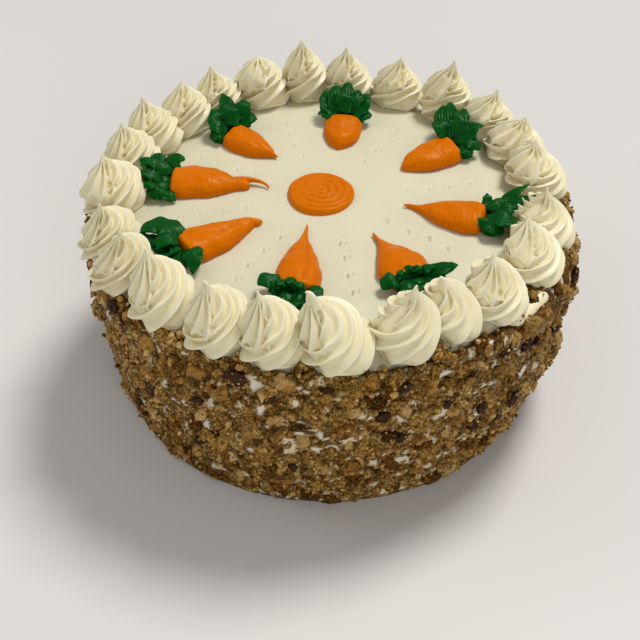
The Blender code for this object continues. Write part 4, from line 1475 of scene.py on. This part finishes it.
def chunk(subdivisions, seed, cuts, rough, freq, size=(1, 1, 1), grit=0.0):
    """A closed bit about 1 across, cut flat here and there, and lumpy."""
    rng = np.random.default_rng(seed)
    bm = bmesh.new()
    bmesh.ops.create_icosphere(bm, subdivisions=subdivisions, radius=0.5)
    v = np.array([q.co[:] for q in bm.verts])
    f = np.array([[q.index for q in p.verts] for p in bm.faces])
    bm.free()
    at = v * freq + rng.uniform(-9, 9, 3)
    push = rough * fbm(at, 2, seed)
    if grit:
        push = push + grit * perlin(at * 4.3, seed + 3)
    v = v * (1 + push[:, None])
    for _ in range(cuts):
        n = unit(rng.normal(size=3))
        d = rng.uniform(0.22, 0.40)
        over = np.maximum(0.0, v @ n - d)
        v = v - np.outer(over * 0.92, n)
    return v * np.asarray(size), f


def turned(rng, count):
    """Random rotations."""
    q = rng.normal(size=(count, 4))
    q /= np.linalg.norm(q, axis=1)[:, None]
    w, x, y, z = q.T
    return np.stack([
        np.stack([1 - 2 * (y*y + z*z), 2 * (x*y - z*w), 2 * (x*z + y*w)], 1),
        np.stack([2 * (x*y + z*w), 1 - 2 * (x*x + z*z), 2 * (y*z - x*w)], 1),
        np.stack([2 * (x*z - y*w), 2 * (y*z + x*w), 1 - 2 * (x*x + y*y)], 1)], 1)


def facing(rng, degrees, tilt=0.25):
    """Turns that lay a bit's short axis outwards, loosely."""
    out = []
    for d in degrees:
        n = unit(polar(1, d) + rng.normal(size=3) * tilt)
        x = unit(np.cross(n, rng.normal(size=3)))
        out.append(np.stack([x, np.cross(n, x), n], 1))
    return np.array(out)


LIMITS = ((-117.6, 120.9), (-117.8, 116.6))      # x and y, as the solids


def coat_painted_shade(x, y, z):
    """Painted light and shade on the coat: darker over its upper right side, paler at its
    foot there.
    """
    off = np.abs((np.degrees(np.arctan2(y, x)) - 335.0 + 180) % 360 - 180)
    return 0.90 + np.exp(-(off / 36.0) ** 2) * (
        0.12 - 0.35 * smooth(30, 75, z))


def scatter(name, shapes, places, sizes, rolls, colours, material, vary=0.12,
            seed=0, outline=None, pitch=1.6):
    """Place shapes and join them in one mesh piece."""
    V, F, C, off = [], [], [], 0
    for i in range(len(places)):
        v, f = shapes[i % len(shapes)]
        q = (v * sizes[i]) @ rolls[i].T + places[i]
        for axis, (low, high) in enumerate(LIMITS):
            q[:, axis] -= max(0.0, q[:, axis].max() - high)
            q[:, axis] += max(0.0, low - q[:, axis].min())
        V.append(q)
        F.append(f + off)
        off += len(v)
        C.append(np.tile(colours[i], (len(v), 1)))
    V, C = np.concatenate(V), np.concatenate(C)
    V[:, 2] = np.clip(V[:, 2], 0.05, None)
    C = C * (1 + vary * perlin(V / pitch, 5 + seed)
             + 0.6 * vary * perlin(V / (pitch * 0.45), 9 + seed))[:, None]
    # painted shade over the coat's upper right side
    C = C * coat_painted_shade(*V.T)[:, None]
    ob = new_object(name, V, np.concatenate(F), material,
                    np.clip(C, 0.001, 1))
    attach(ob, "root")
    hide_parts("nut_crumb_coating")
    if outline is not None:
        outline.cover(V)
    return ob


def side_places(rng, count, low, high):
    """Evenly jittered places over the side: degrees and heights."""
    cols = int(math.sqrt(count * 716.0 / (high - low)))
    rows = int(math.ceil(count / cols))
    j, i = np.meshgrid(np.arange(cols), np.arange(rows))
    deg = (j.ravel() + rng.uniform(0, 1, cols * rows)
           + 0.5 * (i.ravel() % 2)) * 360.0 / cols
    z = low + (i.ravel() + rng.uniform(0, 1, cols * rows)) * (high - low) / rows
    pick = rng.permutation(cols * rows)[:count]
    return deg[pick] % 360, z[pick]


def off_shown(deg, z, rng, share=0.15):
    """Leave most of each nut piece that shows uncovered."""
    keep = np.ones(len(deg), bool)
    for d, h, size, _, _ in SHOWN:
        off = np.hypot(((deg - d + 180) % 360 - 180) * 2.0, z - h)
        keep &= (off > 0.46 * size) | (rng.uniform(0, 1, len(deg)) < share)
    return keep


def keep_inside(degrees, z, reach, half):
    """Pull a piece in so that it stays within the outline of the solids."""
    limit = coat_radius(degrees, z) + 1.5
    return np.minimum(reach, limit - half)


def rosette_feet():
    """Middle (x, y) and half width of each rosette's foot."""
    out = []
    for i, (shift, ring, body, _, _, _) in enumerate(ROSETTE_HAND):
        d = ROSETTE_FIRST + ROSETTE_STEP * i + shift
        p = polar(ring, d) + polar(1, d + 90) * ROSETTE_LOOK.get(
            i + 1, {}).get("slide", 0.0)
        out.append((p[0], p[1], body * ROSETTE_FULLER))
    return np.array(out)


# where icing shows between two rosettes' feet: share of crumb left out
NOTCH_BARE = {2: 0.4, 6: 0.6, 7: 0.45, 8: 0.62, 9: 0.5}


def notch_places(rng, count, near=0.93):
    """Places on the shoulder between the rosettes' feet."""
    feet = rosette_feet()
    deg, rad = rng.uniform(0, 360, count), rng.uniform(106.5, 115.5, count)
    x, y = rad * np.cos(np.radians(deg)), rad * np.sin(np.radians(deg))
    d = np.hypot(x[:, None] - feet[:, 0], y[:, None] - feet[:, 1]) / feet[:, 2]
    keep = d.min(1) > near
    two = np.sort(np.argsort(d, axis=1)[:, :2], axis=1)
    for k, bare in NOTCH_BARE.items():
        here = (two[:, 0] == k - 1) & (two[:, 1] == k)
        keep &= ~(here & (rng.uniform(0, 1, count) < bare))
    return deg[keep], rad[keep]


def on_shoulder(degrees, radius, lift):
    drop = np.maximum(0.0, radius - SHOULDER_RADIUS)
    z = CAKE_HEIGHT - drop * math.tan(SHOULDER_SLOPE) + lift
    return around_z(radius, degrees, z)


def around_z(reach, degrees, z):
    a = np.radians(degrees)
    return np.stack([reach * np.cos(a), reach * np.sin(a), z], 1)


def build_coating():
    core = build_core()
    top = core.top

    # clumps of cake crumb, 5 to 12 mm
    rng = np.random.default_rng(21)
    shown = [chunk(3, 1100 + k, 1, 0.45, 2.0, grit=0.16) for k in range(18)]
    plain = [chunk(2, 1120 + k, 1, 0.45, 2.0, grit=0.10) for k in range(12)]
    deg, z = side_places(rng, 330, 2.0, top - 0.6)
    keep = bare_share(deg, z) < 0.15
    deg, z = deg[keep], z[keep]
    n = len(deg)
    long = rng.uniform(6.0, 13.0, n)
    wide = long * rng.uniform(0.6, 0.95, n)
    deep = rng.uniform(3.4, 5.8, n)
    reach = core.at(deg, z) + rng.uniform(-0.6, 0.7, n)
    reach = keep_inside(deg, z, reach, deep * 0.55)
    z = np.clip(z, long * 0.30, top + 0.4 - long * 0.36)
    places = around_z(reach, deg, z)
    d2, r2 = notch_places(rng, 420, 0.97)
    n2 = len(d2)
    long2 = rng.uniform(4.5, 7.5, n2)
    places = np.concatenate([places, on_shoulder(
        d2, np.minimum(r2, 113.0), rng.uniform(-0.8, 0.8, n2))])
    long = np.concatenate([long, long2])
    wide = np.concatenate([wide, long2 * rng.uniform(0.7, 1.0, n2)])
    deep = np.concatenate([deep, long2 * rng.uniform(0.5, 0.7, n2)])
    deg = np.concatenate([deg, d2])
    n += n2
    tone = np.clip(0.52 + 0.75 * perlin(places / 15.0, 33)
                   + rng.normal(0, 0.24, n), 0.02, 0.98)
    col = shade_mix(tone, (DARK_BROWN_AND_SHADE * 1.3, BROWN, CAKE, CAKE * 1.2, TAN))
    amber = rng.uniform(0, 1, n) > 0.88
    col[amber] = 0.35 * col[amber] + 0.65 * AMBER
    rolls = facing(rng, deg)
    rolls[-n2:] = turned(rng, n2)
    shapes = [plain[i % 12] if i >= n - n2 or 20 < deg[i] % 360 < 160
              else shown[i % 18] for i in range(n)]
    scatter("crumb_clumps", shapes, places, np.stack([long, wide, deep], 1),
            rolls, col, CRUMB, 0.42, 7, core, 1.3)

    # walnut pieces, 7 to 11 mm, wrinkled
    rng = np.random.default_rng(13)
    large = [chunk(4, 980 + k, 2, 0.60, 2.1, grit=0.05) for k in range(8)]
    middle = [chunk(3, 990 + k, 2, 0.55, 2.0) for k in range(14)]
    d2, z2 = side_places(rng, 150, 5.0, top - 2.0)
    keep = (bare_share(d2, z2) < 0.2) & off_shown(d2, z2, rng, 0.0)
    d2, z2 = d2[keep], z2[keep]
    table = np.array([w[:4] for w in SHOWN] + list(WALNUT), float)
    deg = np.concatenate([table[:, 0] % 360, d2])
    z = np.concatenate([table[:, 1], z2])
    size = np.concatenate([table[:, 2], rng.uniform(4.6, 7.4, len(d2))])
    stand = np.concatenate([table[:, 3], rng.uniform(0.0, 0.12, len(d2))])
    n = len(deg)
    shapes = [large[i % 8] if size[i] > 8.2 and not 30 < deg[i] < 170
              else middle[i % 14] for i in range(n)]
    reach = core.at(deg, z) + size * (stand - 0.22)
    stretch = rng.uniform(0.62, 0.98, (n, 3))
    reach = keep_inside(deg, z, reach, size * 0.40)
    places = around_z(reach, deg, np.clip(z, size * 0.4, top - size * 0.36))
    tone = rng.uniform(0.1, 1.0, n)
    tone[:len(SHOWN)] = [w[4] for w in SHOWN]
    col = shade_mix(tone, (BROWN * 1.5, AMBER, CAKE * 1.1, TAN * 0.92,
                           PALE * 0.92))
    scatter("walnut_pieces", shapes, places, size[:, None] * stretch,
            turned(rng, len(deg)), col, NUT, 0.35, 3, core, 2.4)

    # chopped nut, 1.8 to 5.6 mm: the larger with more faces
    rng = np.random.default_rng(12)
    fine = [chunk(3, 950 + k, 4, 0.36, 2.4) for k in range(12)]
    plain = [chunk(2, 970 + k, 4, 0.30, 2.0) for k in range(12)]
    deg, z = side_places(rng, 1150, 1.5, top - 1.0)
    keep = (bare_share(deg, z) < 0.2) & off_shown(deg, z, rng)
    deg, z = deg[keep], z[keep]
    n = len(deg)
    size = 1.8 + 3.8 * rng.beta(1.1, 2.1, n)
    large = (size > 4.2) & (rng.uniform(0, 1, n) < 0.7)
    order = np.argsort(large, kind="stable")
    deg, z, size, large = deg[order], z[order], size[order], large[order]
    reach = core.at(deg, z) - 0.18 * size
    reach = keep_inside(deg, z, reach, size * 0.46)
    places = around_z(reach, deg, np.maximum(z, size * 0.5))
    d2, r2 = notch_places(rng, 620)
    n2 = len(d2)
    size2 = 2.0 + 2.6 * rng.beta(1.3, 1.8, n2)
    places = np.concatenate([places, on_shoulder(
        d2, r2, 0.25 * size2 + rng.uniform(0.0, 1.5, n2))])
    size = np.concatenate([size, size2])
    large = np.concatenate([large, size2 > 4.6])
    large &= ~((np.concatenate([deg, d2]) % 360 > 20)
               & (np.concatenate([deg, d2]) % 360 < 160))
    n += n2
    shapes = [(fine if large[i] else plain)[i % 12] for i in range(n)]
    tone = np.clip(rng.beta(1.6, 1.6, n)
                   + 0.3 * perlin(places / 17.0, 34), 0, 1)
    col = shade_mix(tone, (BROWN, CAKE * 0.85, CAKE * 1.1, TAN, PALE))
    amber = rng.uniform(0, 1, n) > 0.78
    col[amber] = 0.35 * col[amber] + 0.65 * AMBER
    stretch = rng.uniform(0.6, 1.15, (n, 3))
    scatter("nut_bits", shapes, places, size[:, None] * stretch,
            turned(rng, n), col, NUT, 0.25, 2, core, 1.4)

    # raisins and dark walnut skins
    rng = np.random.default_rng(14)
    shapes = [chunk(3, 1010 + k, 1, 0.55, 3.4, grit=0.10) for k in range(8)]
    V, S, Q, C = [], [], [], []
    for d, h, long, wide, roll in DARK:
        reach = float(core.at(np.array([float(d)]), np.array([float(h)]))[0])
        long, wide = long * 1.1, wide * 1.15
        reach = min(reach + 0.02 * wide, coat_radius(d, h) + 1.4 - wide * 0.4)
        V.append(polar(reach, d, h))
        S.append((long, wide, wide * 0.8))
        t1, t2, nrm = polar(1, d + 90), np.array([0, 0, 1.0]), polar(1, d)
        c, q = math.cos(math.radians(roll)), math.sin(math.radians(roll))
        x = t1 * c + t2 * q
        y = -t1 * q + t2 * c
        Q.append(np.stack([x, y, nrm], 1))
        C.append((0.040, 0.015, 0.006))
    scatter("dark_skins", shapes, np.array(V), np.array(S), np.array(Q),
            np.array(C), SKIN, 0.5, 4, core, 1.2)

    # loose crumbs, 0.8 to 2.4 mm: the finest with the fewest faces
    rng = np.random.default_rng(11)
    rough = [chunk(2, 900 + k, 2, 0.34, 3.0) for k in range(14)]
    small = [chunk(1, 920 + k, 2, 0.30, 3.0) for k in range(14)]
    deg, z = side_places(rng, 3000, 0.9, top - 0.4)
    keep = (bare_share(deg, z) < 0.35) & off_shown(deg, z, rng, 0.25)
    deg, z = deg[keep], z[keep]
    n = len(deg)
    size = 0.8 + 1.6 * rng.beta(1.0, 2.2, n)
    reach = core.at(deg, z) + 0.10 * size
    reach = keep_inside(deg, z, reach, size * 0.5)
    places = around_z(reach, deg, np.maximum(z, size * 0.5))
    d2, r2 = notch_places(rng, 1300)
    n2 = len(d2)
    size2 = 0.9 + 1.5 * rng.beta(1.0, 1.8, n2)
    places = np.concatenate([places, on_shoulder(
        d2, r2, 0.3 + rng.uniform(0.0, 3.0, n2))])
    size = np.concatenate([size, size2])
    n += n2
    shapes = [(rough if size[i] > 1.45 else small)[i % 14] for i in range(n)]
    tone = np.clip(rng.beta(1.4, 1.4, n)
                   + 0.3 * perlin(places / 17.0, 34), 0, 1)
    col = shade_mix(tone, (DARK_BROWN_AND_SHADE, BROWN, CAKE, TAN, PALE))
    amber = rng.uniform(0, 1, n) > 0.85
    col[amber] = 0.4 * col[amber] + 0.6 * AMBER
    stretch = rng.uniform(0.7, 1.25, (n, 3))
    scatter("loose_crumbs", shapes, places, size[:, None] * stretch,
            turned(rng, n), col, NUT, 0.2, 1)
    return core


def build_smears(core):
    """Dabs of bare icing on the side, and the drip under the fourth rosette."""
    rng = np.random.default_rng(77)
    parts = []
    for d, h, w, t in BARE:
        reach = float(core.at(np.array([d]), np.array([h]))[0])
        nrm, t1 = polar(1, d), polar(1, d + 90)
        v, f = chunk(3, int(d * 10), 0, 0.5, 1.6)
        v = (v[:, :1] * 2 * w * t1 + v[:, 1:2] * 2 * t * np.array([0, 0, 1.0])
             + v[:, 2:] * 2.6 * nrm) * 0.9
        parts.append((v + polar(reach + 0.1, d, h), [tuple(q) for q in f]))
    # the shoulder's icing showing between the rosettes' feet
    for d0, d1, r, z, first, last in (
            (300.5, 308.8, 112.9, 90.4, 2.4, 4.6),
            (314.5, 329.0, 112.7, 88.6, 3.2, 4.6),
            (334.0, 343.0, 112.6, 89.0, 3.6, 3.2),
            (276.5, 283.5, 112.0, 90.2, 2.8, 3.2),
            (247.0, 254.0, 110.2, 89.8, 3.0, 2.6),
            (231.5, 238.5, 110.8, 90.2, 3.4, 2.8)):
        u = np.linspace(0, 1, 26)
        a = np.radians(d0 + (d1 - d0) * u)
        wave = 0.35 * np.sin(7 * u + d0)
        line = np.stack([(r + wave) * np.cos(a), (r + wave) * np.sin(a),
                         z + 0.5 * wave + 0 * u], 1)
        rad = (first + (last - first) * u) * np.sqrt(
            np.clip(1 - (2 * u - 1) ** 6, 0.02, 1))
        parts.append(rope(line, rad, 0, sections=20, squash=0.7))
    # the drip
    u = np.linspace(0, 1, 24)
    rad = 111.0 + 4.2 * smooth(0, 0.35, u)
    d = np.radians(235.2 + 1.7 * u)
    line = np.stack([rad * np.cos(d), rad * np.sin(d), 93.5 - 9.5 * u], 1)
    parts.append(rope(line, np.maximum(2.6 * (1 - 0.8 * u ** 0.8), 0.6), 0,
                      sections=16, squash=0.8))
    verts, faces = join(parts)
    ob = new_object("icing_dabs", verts, faces, FROSTING)
    fuse(ob, 0.45, 2, 12000)
    paint_groove_shade(ob, None, 2.0, 0.45)
    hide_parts("nut_crumb_coating")


# ---- the stage ---------------------------------------------------------------------------
def build_stage():
    verts = np.array([(-1500, -1500, -0.3), (1500, -1500, -0.3),
                      (1500, 1500, -0.3), (-1500, 1500, -0.3)], float)
    mat, shader, links = base_material("floor", 0.55, 0.3)
    shader.inputs["Base Color"].default_value = (0.62, 0.60, 0.58, 1)
    ob = new_object("floor", verts, [(0, 1, 2, 3)], mat)
    sc = bpy.context.scene
    cam = bpy.data.cameras.new("camera")
    cam.lens = 69.71
    cam.sensor_width = 36
    cam.clip_start = 0.01
    co = bpy.data.objects.new("camera", cam)
    co.location = (-0.003301, -0.480928, 0.447723)
    co.rotation_euler = (math.radians(90 - 41.636), 0, 0)
    sc.collection.objects.link(co)
    sc.camera = co
    world = bpy.data.worlds.new("studio")
    sc.world = world
    world.use_nodes = True
    bg = world.node_tree.nodes["Background"]
    bg.inputs["Color"].default_value = (1.0, 0.98, 0.95, 1)
    bg.inputs["Strength"].default_value = 0.33

    def area(name, at, size, power, target=(0, 0, 0.09), colour=(1, 1, 1)):
        data = bpy.data.lights.new(name, "AREA")
        data.shape = "DISK"
        data.size = size
        data.energy = power
        data.color = colour
        lamp = bpy.data.objects.new(name, data)
        lamp.location = at
        way = Vector(target) - Vector(at)
        lamp.rotation_euler = way.to_track_quat("-Z", "Y").to_euler()
        sc.collection.objects.link(lamp)

    area("key", (1.28, 1.44, 3.53), 1.32, 127.0, colour=(1.0, 0.985, 0.96))
    area("left", (-0.75, 0.05, 0.60), 0.5, 1.3)
    area("front", (0.20, -0.90, 0.50), 0.6, 2.7)
    sc.view_settings.view_transform = "Standard"


build_stage()
build_body()
build_rosettes()
build_carrots()
build_tufts()
build_disc()
CORE = build_coating()
build_smears(CORE)
